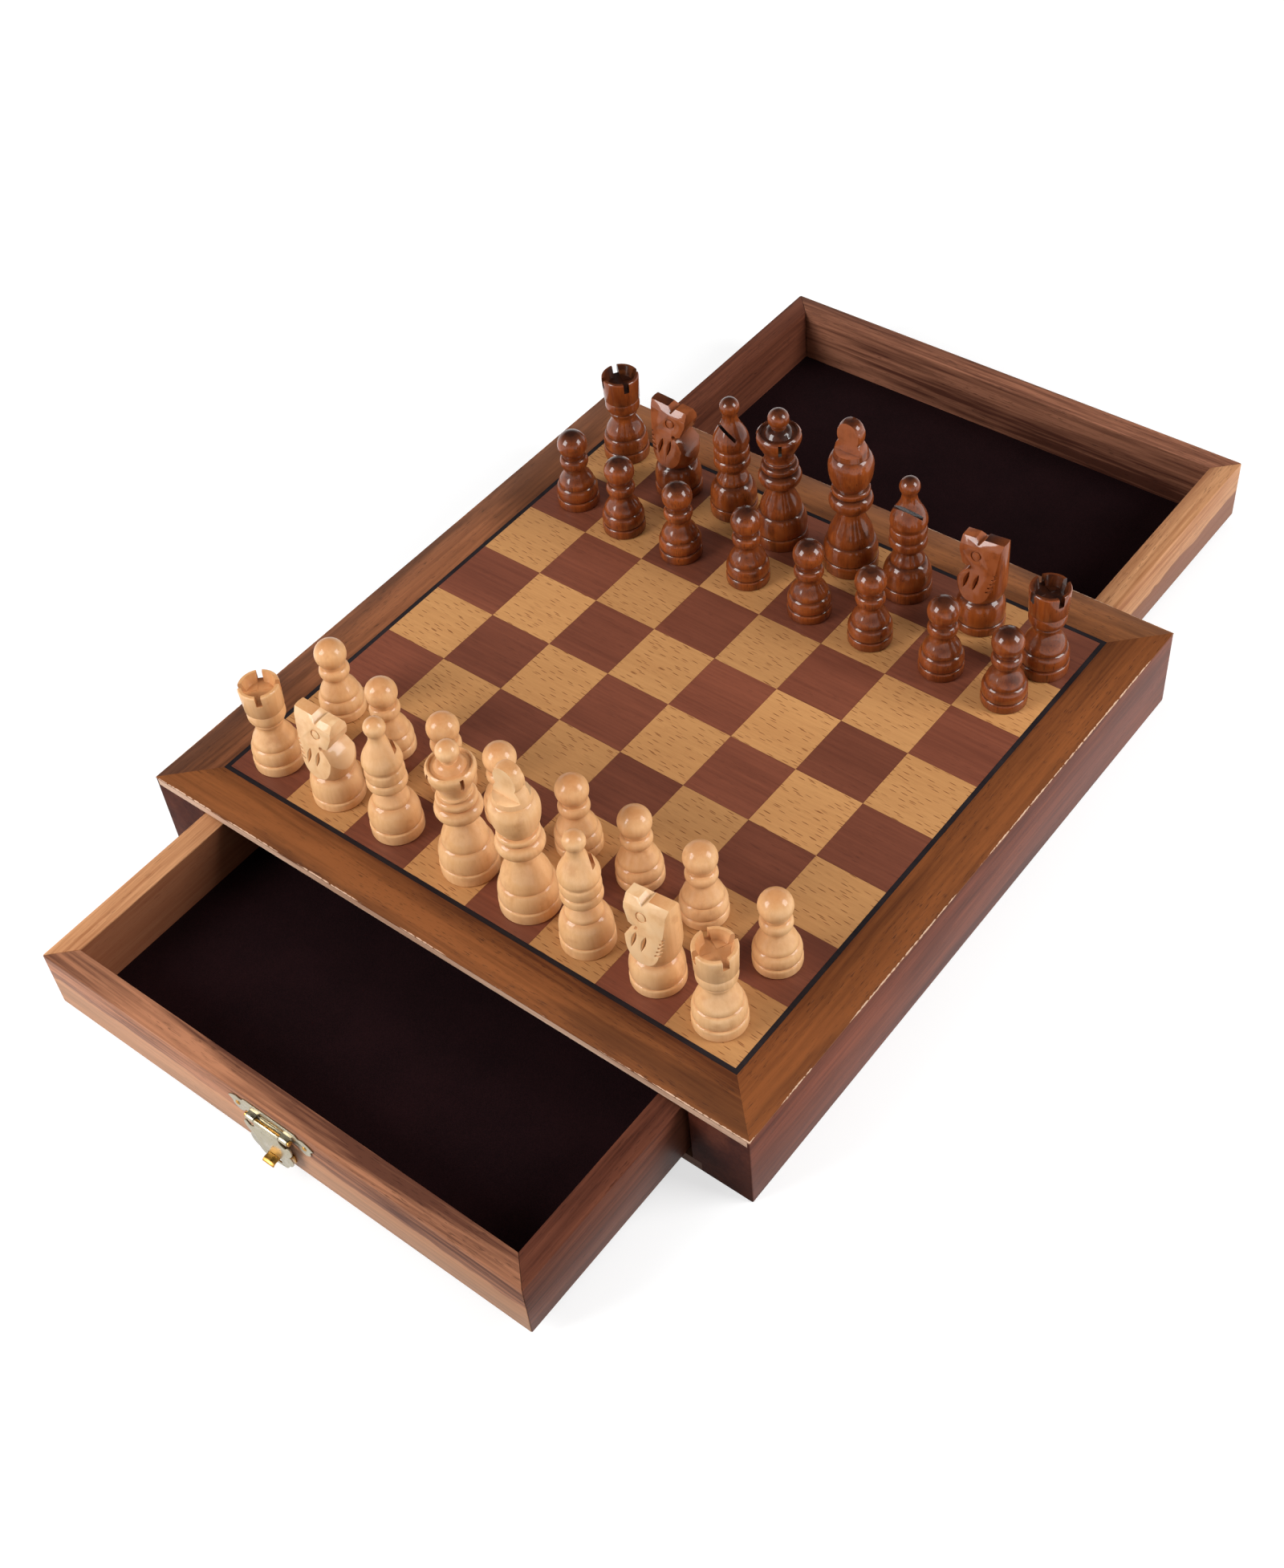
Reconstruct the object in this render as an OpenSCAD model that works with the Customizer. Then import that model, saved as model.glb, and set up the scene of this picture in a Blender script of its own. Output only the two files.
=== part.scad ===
// Chess box: a chequerboard case on two side walls, with a felt-lined drawer that slides out
// of the front, another out of the back, a hinged hasp on each drawer and a full set of men.
// Millimetres. The origin is at the middle of the underside, +Z up, -Y the front (white) side.

/* [Board] */
// Side of one square of the chequerboard
square = 32; // [30:0.5:45]
// Width of the plain border, from the squares to the edge of the case
border_w = 22; // [16:0.5:40]
// Thickness of the top panel under its veneers
panel_t = 3.4; // [2.4:0.1:8]
// Thickness of the veneers on the top panel
veneer_t = 0.6; // [0.4:0.1:1.5]
// Width of the dark stringing round the squares
string_w = 2; // [1:0.1:5]
// Glue line between neighbouring veneers
glue_gap = 0.08; // [0.04:0.02:0.2]

/* [Case] */
// Height of the case, from the table to the playing surface
case_h = 40; // [36:0.5:70]
// Thickness of each side wall
side_t = 26.8; // [12:0.2:34]
// Thickness of the bottom panel
bottom_t = 5; // [3:0.2:8]
// How far the bottom panel is let into each side wall
bottom_let_in = 4; // [2:0.5:8]
// Wall left standing outside the top panel at each side
panel_lip = 1.2; // [0.8:0.1:4]
// Thickness of the divider between the two drawers
divider_t = 6; // [3:0.5:12]

/* [Drawers] */
// Gap at each side of a drawer
side_gap = 2; // [0.5:0.1:4]
// Gap between a drawer and the top panel
top_gap = 0.8; // [0.4:0.1:2]
// Gap between a drawer and the bottom panel
run_gap = 0.3; // [0.2:0.1:1]
// Gap between a closed drawer and the divider
back_gap = 0.7; // [0.3:0.1:3]
// Thickness of the drawer walls
drawer_wall = 10.4; // [7:0.2:14]
// Thickness of a drawer's bottom
drawer_bottom_t = 2.2; // [1.6:0.1:4]
// How far a drawer's bottom is let into its walls
drawer_let_in = 4; // [2:0.5:6]
// Thickness of the felt in a drawer
felt_t = 0.8; // [0.5:0.1:2]
// How far the front drawer stands open
front_open = 87; // [0:1:125]
// How far the rear drawer stands open
rear_open = 118; // [0:1:125]
// Sideways play taken up by the front drawer, towards the left
front_play = 1.2; // [0:0.1:1.6]

/* [Hasp] */
// How far each clasp sits to the right of its drawer's middle
clasp_off = 1.8; // [-10:0.2:10]
// Length of the hinge plate, from ear to ear
plate_w = 43; // [38:0.5:60]
// Thickness of the sheet metal
sheet_t = 0.6; // [0.5:0.1:1]
// Distance of the hinge pin below the drawer's rim
pin_drop = 7.6; // [6.6:0.1:8.4]
// Radius of the hinge pin
pin_r = 0.7; // [0.5:0.05:1]
// Running clearance of the hinge pin in the hasp's knuckle
pin_clear = 0.05; // [0.02:0.01:0.1]
// Wall of the knuckles round the pin
knuckle_wall = 0.7; // [0.5:0.05:1]
// Gap between the hasp's knuckle and the plate behind it
knuckle_back_gap = 0.15; // [0.1:0.05:0.4]
// Length of the hasp's own knuckle
knuckle_w = 12.4; // [9:0.2:14]
// Length of each of the plate's two knuckles
end_knuckle_w = 4; // [3:0.2:5]
// Gap between neighbouring knuckles
knuckle_gap = 0.25; // [0.15:0.05:0.5]
// Width of the hasp across its scrolls
hasp_w = 23.8; // [20:0.2:28]
// Distance from the hinge pin to the tip of the hasp
hasp_len = 20.6; // [20.4:0.1:22]
// Distance from the hinge pin to the catch's tongue
tongue_drop = 16.2; // [14:0.1:16.4]
// Width of the catch's tongue
tongue_w = 5.6; // [3:0.2:7]
// How far the tongue stands out from the drawer's face
tongue_out = 7.4; // [5.5:0.1:8]
// How far the tongue's end is bent down
tongue_bend = 1; // [0:0.1:1.4]
// Play of the tongue in the hasp's slot
slot_play = 0.8; // [0.4:0.1:1.2]
// Radius of a nail's shank
nail_r = 0.7; // [0.5:0.05:0.9]
// Length of a nail's shank
nail_len = 6; // [4:0.5:8]

/* [Chessmen] */
// Height of a king
king_h = 77; // [70:0.5:90]
// Height of a queen
queen_h = 69.8; // [64:0.2:82]
// Height of a bishop
bishop_h = 61.4; // [56:0.2:72]
// Height of a knight
knight_h = 47.8; // [45:0.2:58]
// Height of a rook
rook_h = 44; // [40:0.2:52]
// Height of a pawn
pawn_h = 38.8; // [36:0.2:46]
// Gap between a man's foot and the playing surface
foot_gap = 0.05; // [0.02:0.01:0.2]

/* [Hidden] */
FILES = ["a", "b", "c", "d", "e", "f", "g", "h"];
OFFICERS = ["rook", "knight", "bishop", "queen", "king", "bishop", "knight", "rook"];
SIDES = ["white", "black"];
DRAWERS = ["front", "rear"];
function officer_node(side, i) = str(side, "_", OFFICERS[i], i == 3 || i == 4 ? "" : str("_", FILES[i]));
function pawn_node(side, i) = str(side, "_pawn_", FILES[i]);

$fn = 64;

// Board and case
grid_w = 8 * square;
case_w = grid_w + 2 * border_w;
half = case_w / 2;
panel_top = case_h - veneer_t;
panel_under = panel_top - panel_t;
opening_w = case_w - 2 * side_t;

// Drawers
drawer_w = opening_w - 2 * side_gap;
drawer_d = half - divider_t / 2 - back_gap;
drawer_z = bottom_t + run_gap;
drawer_h = panel_under - top_gap - drawer_z;

// Clasp: its own frame has its origin on the drawer's rim, in line with the clasp, -Y outwards
knuckle_r = pin_r + knuckle_wall;
pin_y = -sheet_t - knuckle_back_gap - knuckle_r;
pin_z = -pin_drop;
hinge_half = knuckle_w / 2 + knuckle_gap + end_knuckle_w;
leaf_y = pin_y - knuckle_r;
ear_z = pin_z + 0.2;
ear_nail_x = plate_w / 2 - 4.6;
catch_z = pin_z - tongue_drop;
catch_w = tongue_w + 10;
catch_nail_x = catch_w / 2 - 2.4;
// The slot passes the tongue's bent end while the hasp swings about its pin
slot_top = tongue_drop - sheet_t / 2 - slot_play;
slot_low = norm([tongue_out + pin_y, tongue_drop + tongue_bend + sheet_t / 2]) + 0.3;
slot_half = tongue_w / 2 + slot_play;

// Colours
BEECH = [0.78, 0.58, 0.35];
MAHOGANY = [0.45, 0.24, 0.16];
WALNUT = [0.48, 0.30, 0.18];
PLYWOOD = [0.86, 0.70, 0.58];
CASE_BROWN = [0.49, 0.33, 0.28];
INLAY = [0.15, 0.13, 0.14];
DRAWER_FACE = [0.70, 0.50, 0.42];
DRAWER_WOOD = [0.52, 0.33, 0.25];
FELT = [0.10, 0.06, 0.06];
NICKEL = [0.74, 0.72, 0.64];
GILT = [0.84, 0.67, 0.25];
LIGHT_MEN = [0.89, 0.72, 0.53];
DARK_MEN = [0.50, 0.25, 0.11];
function men_colour(side) = side == "white" ? LIGHT_MEN : DARK_MEN;

// ---------------------------------------------------------------- case

module slab(x, y, z, t) {
    translate([-x / 2, -y / 2, z]) cube([x, y, t]);
}

module top_panel() {
    color(PLYWOOD) slab(case_w - 2 * panel_lip, case_w, panel_under, panel_t);
}

// The squares of one colour: a1, at the front left, is dark
module squares(parity) {
    for (i = [0:7], j = [0:7])
        if ((i + j) % 2 == parity)
            translate([(i - 3.5) * square, (j - 3.5) * square, 0])
                slab(square - glue_gap, square - glue_gap, panel_top, veneer_t);
}

module light_squares() {
    color(BEECH) squares(1);
}

module dark_squares() {
    color(MAHOGANY) squares(0);
}

module stringing() {
    color(INLAY) difference() {
        slab(grid_w + 2 * string_w, grid_w + 2 * string_w, panel_top, veneer_t);
        slab(grid_w, grid_w, panel_top - 1, veneer_t + 2);
    }
}

// Four mitred strips, from the stringing out to the edge of the case
module border_veneer() {
    inner = grid_w / 2 + string_w + glue_gap;
    miter = glue_gap / 2;
    color(WALNUT)
        for (turn = [0:90:270])
            rotate([0, 0, turn]) translate([0, 0, panel_top])
                linear_extrude(veneer_t)
                    polygon([[-half + miter, -half], [half - miter, -half],
                             [inner - miter, -inner], [-inner + miter, -inner]]);
}

// One wall at each side, rebated for the top panel above and the bottom panel below
module side_walls() {
    color(CASE_BROWN)
        for (side = [0, 1])
            mirror([side, 0, 0])
                difference() {
                    translate([half - side_t, -half, 0]) cube([side_t, case_w, panel_top]);
                    translate([half - side_t - 1, -half - 1, panel_under])
                        cube([side_t - panel_lip + 1, case_w + 2, panel_t + 1]);
                    translate([half - side_t - 1, -half - 1, -1])
                        cube([bottom_let_in + 1, case_w + 2, bottom_t + 1]);
                }
}

module bottom_panel() {
    color(CASE_BROWN) slab(opening_w + 2 * bottom_let_in, case_w, 0, bottom_t);
}

module centre_divider() {
    color(CASE_BROWN) slab(opening_w, divider_t, bottom_t, panel_under - bottom_t);
}

// ---------------------------------------------------------------- drawers

// A drawer's frame: origin at the middle of its face, on its underside, with +Y into the drawer
module in_drawer(which) {
    if (which == "front")
        translate([-front_play, -half - front_open, drawer_z]) children();
    else
        translate([0, half + rear_open, drawer_z]) rotate([0, 0, 180]) children();
}

module drawer_bottom_block() {
    inset = drawer_wall - drawer_let_in;
    translate([-drawer_w / 2 + inset, inset, 0])
        cube([drawer_w - 2 * inset, drawer_d - 2 * inset, drawer_bottom_t]);
}

// A wall with mitred ends along the X axis, its outer face at y = 0
module mitred_wall(length) {
    linear_extrude(drawer_h)
        polygon([[-length / 2, 0], [length / 2, 0],
                 [length / 2 - drawer_wall, drawer_wall], [-length / 2 + drawer_wall, drawer_wall]]);
}

module drawer_front(which) {
    color(DRAWER_FACE) in_drawer(which) difference() {
        mitred_wall(drawer_w);
        drawer_bottom_block();
    }
}

module drawer_back(which) {
    color(DRAWER_WOOD) in_drawer(which) difference() {
        translate([0, drawer_d, 0]) rotate([0, 0, 180]) mitred_wall(drawer_w);
        drawer_bottom_block();
    }
}

module drawer_sides(which) {
    color(DRAWER_WOOD) in_drawer(which) difference() {
        for (turn = [90, -90])
            translate([0, drawer_d / 2, 0]) rotate([0, 0, turn])
                translate([0, -drawer_w / 2, 0]) mitred_wall(drawer_d);
        drawer_bottom_block();
    }
}

module drawer_bottom(which) {
    color(DRAWER_WOOD) in_drawer(which) drawer_bottom_block();
}

module drawer_felt(which) {
    color(FELT) in_drawer(which)
        translate([-drawer_w / 2 + drawer_wall, drawer_wall, drawer_bottom_t])
            cube([drawer_w - 2 * drawer_wall, drawer_d - 2 * drawer_wall, felt_t]);
}

// ---------------------------------------------------------------- clasps

// The clasp's frame, on a drawer
module on_face(which) {
    in_drawer(which) translate([clasp_off, 0, drawer_h]) children();
}

// Sheet metal cut to a 2D outline in the X-Z plane, with its back at y = back
module sheet(back) {
    translate([0, back, 0]) rotate([90, 0, 0]) linear_extrude(sheet_t) children();
}

// A bar along X about the hinge pin's axis, from x0 to x1
module about_pin(x0, x1) {
    translate([x0, pin_y, pin_z]) rotate([90, 0, 90]) linear_extrude(x1 - x0) children();
}

// One half of the hinge plate: a straight band, a notch and a leaf-shaped ear with a waved edge
function ear_outline() = let(e = plate_w / 2, low = pin_z - knuckle_r) [
    [0, -2], [e - 8.6, -2], [e - 7, -3.5], [e - 4.6, -3], [e - 1.8, -4.1], [e, ear_z + 1.6],
    [e - 1.7, ear_z - 0.4], [e - 2.1, ear_z - 2.6], [e - 4.6, ear_z - 4.4], [e - 7, ear_z - 3.4],
    [e - 8.2, low], [0, low]];

module nail_places() {
    for (x = [-ear_nail_x, ear_nail_x]) translate([x, -sheet_t, ear_z]) children();
}

module catch_nail_places() {
    for (x = [-catch_nail_x, catch_nail_x]) translate([x, -sheet_t, catch_z]) children();
}

module nail_shank() {
    rotate([-90, 0, 0]) cylinder(r = nail_r, h = nail_len);
}

// A nail with a domed head, driven along +Y
module nail() {
    dome_r = 2.4 * nail_r;
    nail_shank();
    rotate([90, 0, 0]) rotate_extrude() intersection() {
        translate([0, -0.7 * dome_r]) circle(dome_r);
        square([dome_r, dome_r]);
    }
}

module clasp_plate(which) {
    color(NICKEL) on_face(which) difference() {
        for (side = [0, 1])
            mirror([side, 0, 0]) {
                sheet(0) polygon(ear_outline());
                about_pin(knuckle_w / 2 + knuckle_gap, hinge_half) {
                    circle(knuckle_r);
                    square([-pin_y, knuckle_r]);
                }
            }
        about_pin(-plate_w, plate_w) circle(pin_r);
        nail_places() nail_shank();
    }
}

module clasp_nails(which) {
    color(GILT) on_face(which) {
        nail_places() nail();
        catch_nail_places() nail();
    }
}

module clasp_pin(which) {
    color(GILT) on_face(which) {
        about_pin(-hinge_half - 0.6, hinge_half + 0.6) circle(pin_r);
        for (side = [0, 1])
            mirror([side, 0, 0]) about_pin(hinge_half + 0.05, hinge_half + 0.8) circle(pin_r + 0.4);
    }
}

// A small plate under the hasp, with a tongue that stands out through the hasp's slot and bends down
module clasp_catch(which) {
    h = sheet_t / 2;
    color(GILT) on_face(which) difference() {
        union() {
            sheet(0) translate([-catch_w / 2, catch_z - 3]) square([catch_w, 5.6]);
            translate([-tongue_w / 2, 0, catch_z]) rotate([90, 0, 90]) linear_extrude(tongue_w)
                polygon([[0, h], [-tongue_out + 1.4, h], [-tongue_out, h - tongue_bend],
                         [-tongue_out + 0.4, -h - tongue_bend], [-tongue_out + 1.6, -h], [0, -h]]);
        }
        catch_nail_places() nail_shank();
    }
}

// One half of the hasp below its knuckle: a scrolled shoulder, a waved edge and a blunt tip
function hasp_outline() = let(e = hasp_w / 2) [
    [0, -0.4], [knuckle_w / 2, -0.4], [knuckle_w / 2, -2.4], [e - 3.3, -3.9], [e - 1.2, -1.9], [e, -3.8],
    [e - 0.6, -6.8], [e - 2.3, -8.8], [e - 1.2, -11.2], [e - 1.9, -14.6], [e - 4.2, -16.8],
    [e - 6, -hasp_len + 1.2], [2.6, -hasp_len + 0.4], [0, -hasp_len]];

// The hasp's knuckle is rolled from its own sheet and stays open along the top, over the pin
module hasp(which) {
    color(NICKEL) on_face(which) difference() {
        union() {
            about_pin(-knuckle_w / 2, knuckle_w / 2) circle(knuckle_r);
            translate([0, leaf_y + sheet_t, pin_z]) sheet(0)
                for (side = [0, 1]) mirror([side, 0]) polygon(hasp_outline());
        }
        about_pin(-knuckle_w, knuckle_w) {
            circle(pin_r + pin_clear);
            translate([-0.5 * knuckle_r, 0.2 * knuckle_r]) square(2 * knuckle_r);
        }
        translate([0, leaf_y + sheet_t + 1, pin_z]) rotate([90, 0, 0]) linear_extrude(sheet_t + 2)
            polygon(concat([[-slot_half, -slot_low], [slot_half, -slot_low]],
                           arc(0, -slot_top - 1.4, slot_half, 1.4, 0, 180, 8)));
    }
}

// ---------------------------------------------------------------- chessmen

// Profiles are lists of [radius, height], from the foot's middle up to the crown
function arc(r, z, rr, rz, a0, a1, n) = [for (i = [0:n]) let(a = a0 + (a1 - a0) * i / n)
    [r + rr * cos(a), z + rz * sin(a)]];
// A turned bead that bulges out to radius r, centred at z
function bead(r, z, bulge, half_h) = arc(r - bulge, z, bulge, half_h, -80, 80, 6);
// A bead that is cut in deeper below than above
function collar(r, z, under, over, half_h) = concat(
    arc(r - under, z, under, half_h, -80, 0, 3), arc(r - over, z, over, half_h, 20, 80, 3));
// A cosine curve between two radii, as on the sweep up to a turned man's neck
function sweep(r0, z0, r1, z1, n) = [for (i = [0:n]) let(t = i / n)
    [(r0 + r1) / 2 + (r0 - r1) / 2 * cos(180 * t), z0 + (z1 - z0) * t]];
// The foot that every man stands on: a banded base with a groove over it
function foot(r, band) = [[0, 0], [r - 0.7, 0], [r - 0.1, 0.7], [r, band * 0.55], [r - 0.2, band - 0.8],
                          [r - 0.9, band]];
// The swelling over the groove: widest at z, up to a small step at angle a1
function swell(r, z, bulge, half_h, band, a1) =
    arc(r - bulge, z, bulge, half_h, -asin((z - band - 0.4) / half_h), a1, 7);

module turned(profile) {
    rotate_extrude() polygon(concat(profile, [[0, profile[len(profile) - 1][1]]]));
}

module pawn() {
    head_r = 6.7;
    turned(concat(foot(9.6, 4.7), swell(9.45, 7.2, 2.6, 4.4, 4.7, 50), [[8.0, 11]],
                  sweep(8.1, 11.4, 4.8, 19.6, 7), bead(6.4, 23.1, 1.8, 2.9),
                  arc(0, pawn_h - head_r, head_r, head_r, -42, 90, 12)));
}

// Two saw cuts cross at the top of the turret, over a bored hollow
module rook() {
    kerf = 2.5;
    kerf_depth = 4.8;
    bore_depth = 4.6;
    difference() {
        turned(concat(foot(10.6, 5.5), swell(10.3, 8.4, 2.6, 5.0, 5.5, 50), [[8.8, 12.6]],
                      sweep(8.9, 13, 5.5, 22.4, 7), bead(6.4, 24.3, 0.8, 1),
                      collar(7.9, 28.4, 1.9, 0.5, 3),
                      [[8.1, 32.2], [8.5, rook_h - 0.5], [8.1, rook_h]]));
        translate([0, 0, rook_h - bore_depth]) cylinder(r1 = 5.6, r2 = 7, h = bore_depth + 0.2);
        for (turn = [0, 90])
            rotate([0, 0, turn]) translate([-10, -kerf / 2, rook_h - kerf_depth]) cube([20, kerf, 6]);
    }
}

// The head is sawn from the turned blank: two cheeks that taper to the brow, a crown that slopes to the
// nose with a bevel along each cheek, a brow notch, a throat cut that ends in a drilled hole, gouged
// shoulders and a nicked mane. It faces +X.
module knight() {
    taper = 9.4;
    cheek_foot = [8.6, 18];
    crown_z = knight_h - 1;
    crown_slope = 5.2;
    bevel = 3.2;
    mouth = [3.2, knight_h - 14.6];
    nose_x = 8.8;
    eye = [1, knight_h - 8.2];
    disc_r = 8;
    gouge_depth = 1.3;
    difference() {
        turned(concat(foot(10.8, 4.6), swell(10.6, 8, 3.6, 8, 4.6, 66), [[7.4, 16]],
                      arc(7.2, 25, 3.3, 8.8, -80, 0, 9), [[10.3, knight_h]]));
        for (side = [0, 1])
            mirror([0, side, 0]) {
                lean = 1 - 2 * side;
                translate([0, cheek_foot[0], cheek_foot[1]]) rotate([taper, 0, 0]) {
                    translate([-13, 0, -4]) cube([26, 12, knight_h]);
                    // Two lens-shaped gouges
                    for (x = [-2, 2.4], way = [0, 1])
                        translate([x + 1.4 * lean, disc_r - gouge_depth, 9.2])
                            rotate([0, 90 - 12 * lean, 0]) mirror([0, 0, way])
                                cylinder(r1 = disc_r, r2 = disc_r - gouge_depth, h = 1.1);
                    // The eye's ring
                    translate([eye[0], -0.5, eye[1] - cheek_foot[1]]) rotate([-90, 0, 0]) difference() {
                        cylinder(r = 2.4, h = 3);
                        translate([0, 0, -1]) cylinder(r = 1.8, h = 5);
                    }
                    // The nicks of the mane
                    for (i = [0:4])
                        translate([-10.4 + 0.6 * i, -0.9, 16 - 2.2 * i]) rotate([0, 26, 0])
                            cube([2.6, 4, 0.8]);
                }
            }
        translate([0, 0, crown_z]) rotate([0, crown_slope, 0]) {
            translate([-14, -13, 0]) cube([28, 26, 4]);
            for (side = [0, 1])
                mirror([0, side, 0])
                    translate([-14, cheek_foot[0] - (crown_z - bevel - cheek_foot[1]) * tan(taper), -bevel])
                        rotate([30, 0, 0]) cube([28, 8, 10]);
            // Brow notch
            rotate([90, 0, 0]) translate([0, 0, -13]) linear_extrude(26)
                polygon([[-2, 1], [0.7, -2.3], [1.4, -2.5], [3.6, 1]]);
        }
        // Throat, jaw and nose, over a sloping chest
        rotate([90, 0, 0]) translate([mouth[0], mouth[1], -13]) linear_extrude(26) {
            out = nose_x - mouth[0];
            polygon([[12, -13.5], [7.8, -13.5], [6.4, -9.4], [4.8, -6], [2.6, -2.8], [0, 0],
                     [out - 2.3, 1.2], [out, 6.8], [out, 16], [12, 16]]);
            circle(1);
        }
    }
}

// A saw cut opens one side of the mitre, +X: either steeply, or on a slant towards the middle
module bishop(steep) {
    ball_r = 4.4;
    ball_z = bishop_h - ball_r;
    kerf = 1.5;
    difference() {
        turned(concat(foot(10.8, 6), swell(10.5, 9, 5, 9, 6, 60), [[7.3, 17.3]],
                      sweep(7.4, 17.7, 5.0, 24, 5), collar(8.2, 27.9, 2.2, 0.8, 2.6),
                      bead(8.0, 33.4, 0.8, 2.7),
                      sweep(7.3, 36.3, 8.1, 39, 3), sweep(8.1, 39.2, 3.3, ball_z - 4.3, 8),
                      arc(0, ball_z, ball_r, ball_r, -40, 90, 10)));
        if (steep)
            translate([5.1, 0, ball_z - 12.6]) rotate([0, -4, 0]) translate([-kerf / 2, -10, 0])
                cube([kerf, 20, 8.6]);
        else
            translate([0.8, 0, ball_z - 14]) rotate([0, 38, 0]) translate([-kerf / 2, -10, 0])
                cube([kerf, 20, 14]);
    }
}

module queen() {
    ball_r = 4.65;
    ball_z = queen_h - ball_r;
    rim_z = ball_z - 6.8;
    slit = 1.5;
    difference() {
        turned(concat(foot(11.8, 6.3), swell(11.5, 9, 5, 9.5, 6.3, 48), [[9.2, 16.5]],
                      sweep(9.3, 16.9, 5.1, 31, 7), bead(9.5, 34.9, 3.0, 3.5),
                      collar(8.2, 40.6, 1.4, 1.6, 1.9), bead(6.9, 43.7, 0.6, 0.9),
                      sweep(6.2, 45, 9.8, rim_z - 2.4, 8),
                      [[9.5, rim_z - 0.7], [8.7, rim_z], [8.2, rim_z - 0.1], [7.8, rim_z - 0.8],
                       [6.3, rim_z - 0.6], [5.9, rim_z]],
                      arc(0, rim_z, 5.7, 3.0, 20, 55, 4), arc(0, ball_z, ball_r, ball_r, -45, 90, 10)));
        for (turn = [0:90:270])
            rotate([0, 0, turn]) translate([-slit / 2, -12.5, rim_z - 5]) rotate([0, 90, 0])
                cylinder(r = 5.3, h = slit);
    }
}

// The finial is a cone on the bulb, a waist and a bead, with two flats sawn on it
module king() {
    bulb_r = 9.8;
    bulb_z = king_h - 22.3;
    ring_z = king_h - 16.5;
    bulb_foot = 43.8;
    flat = 2.7;
    difference() {
        turned(concat(foot(12.2, 6.2), swell(11.9, 8.8, 4, 8, 6.2, 46), [[10, 15]],
                      sweep(10.1, 15.4, 5.4, 32, 8), bead(9.6, 36.2, 3.2, 3.9),
                      collar(8.4, 41.9, 0.9, 1.1, 1.6),
                      arc(0, bulb_z, bulb_r, (bulb_z - bulb_foot) / sin(45), -45, -5, 5),
                      arc(0, bulb_z, bulb_r, 9.4, 0, 37, 5),
                      [[7.6, ring_z], [7.5, ring_z + 0.4], [6.4, king_h - 11.4], [5.3, king_h - 9.6]],
                      bead(5.9, king_h - 6.2, 0.6, 2.6),
                      [[4.6, king_h - 1.6], [3.5, king_h - 0.4], [2.8, king_h]]));
        for (side = [0, 1])
            mirror([0, side, 0]) translate([-10, flat, king_h - 14.4]) cube([20, 10, 20]);
    }
}

// Where each man stands, off the middle of its square
OFFICER_AT = [
    [[-1.5, -1.5], [0, -1], [-0.5, -0.5], [4.5, 1], [3.5, 0.5], [1, -1], [1, 0.5], [-1, -2]],
    [[-3, 7], [0.5, 0.5], [-1.5, 2], [-5, -1.5], [-2, 1], [-4.5, 0], [-0.5, 0.5], [3, -8]]];
PAWN_AT = [
    [[0.5, 2.5], [1, -2], [2.5, -2.5], [-0.5, -2], [1, 1], [-1.5, 2], [-3, 2], [0.5, -0.5]],
    [[-0.5, 0], [-3.5, -3], [-4, -2.5], [-1.5, 0.5], [0.5, -2], [-1, -1.5], [1, 0], [-0.5, -1]]];
// How far each officer is turned; the knights on the king's wing look left, those on the queen's wing right
OFFICER_TURN = [
    [-47, 2, 62, 68, 0, 55, 182, -26],
    [-32, 2, -119, 38, 0, -88, 182, -27]];

// Puts a man on file i of a side's back rank (row 0) or pawn rank (row 1)
module on_square(side, i, row) {
    s = side == "white" ? 0 : 1;
    at = row == 0 ? OFFICER_AT[s][i] : PAWN_AT[s][i];
    turn = row == 0 ? OFFICER_TURN[s][i] : 0;
    rank = s == 0 ? row : 7 - row;
    translate([(i - 3.5) * square + at[0], (rank - 3.5) * square + at[1], case_h + foot_gap])
        rotate([0, 0, turn]) children();
}

module officer(side, i) {
    color(men_colour(side)) on_square(side, i, 0) {
        if (i == 0 || i == 7) rook();
        if (i == 1 || i == 6) knight();
        if (i == 2 || i == 5) bishop(side == "white");
        if (i == 3) queen();
        if (i == 4) king();
    }
}

module pawn_man(side, i) {
    color(men_colour(side)) on_square(side, i, 1) pawn();
}

// ---------------------------------------------------------------- nodes

top_panel();
light_squares();
dark_squares();
stringing();
border_veneer();
side_walls();
bottom_panel();
centre_divider();
for (d = DRAWERS) {
    drawer_front(d);
    drawer_back(d);
    drawer_sides(d);
    drawer_bottom(d);
    drawer_felt(d);
    clasp_plate(d);
    clasp_nails(d);
    clasp_pin(d);
    clasp_catch(d);
    hasp(d);
}
for (s = SIDES, i = [0:7]) {
    officer(s, i);
    pawn_man(s, i);
}
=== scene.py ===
"""Dresses the chess box: its inlaid board and case, two felt-lined drawers, their clasps and 32 turned men.

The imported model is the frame. Sizes here are in metres, written in millimetres times MM, and every piece
takes its place from the node that it stands for.
"""

import logging
import math
from dataclasses import dataclass, field, replace
from enum import Enum
from typing import Callable, Sequence

import bmesh
import bpy
from mathutils import Matrix, Vector
from mathutils.geometry import intersect_point_line

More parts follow.
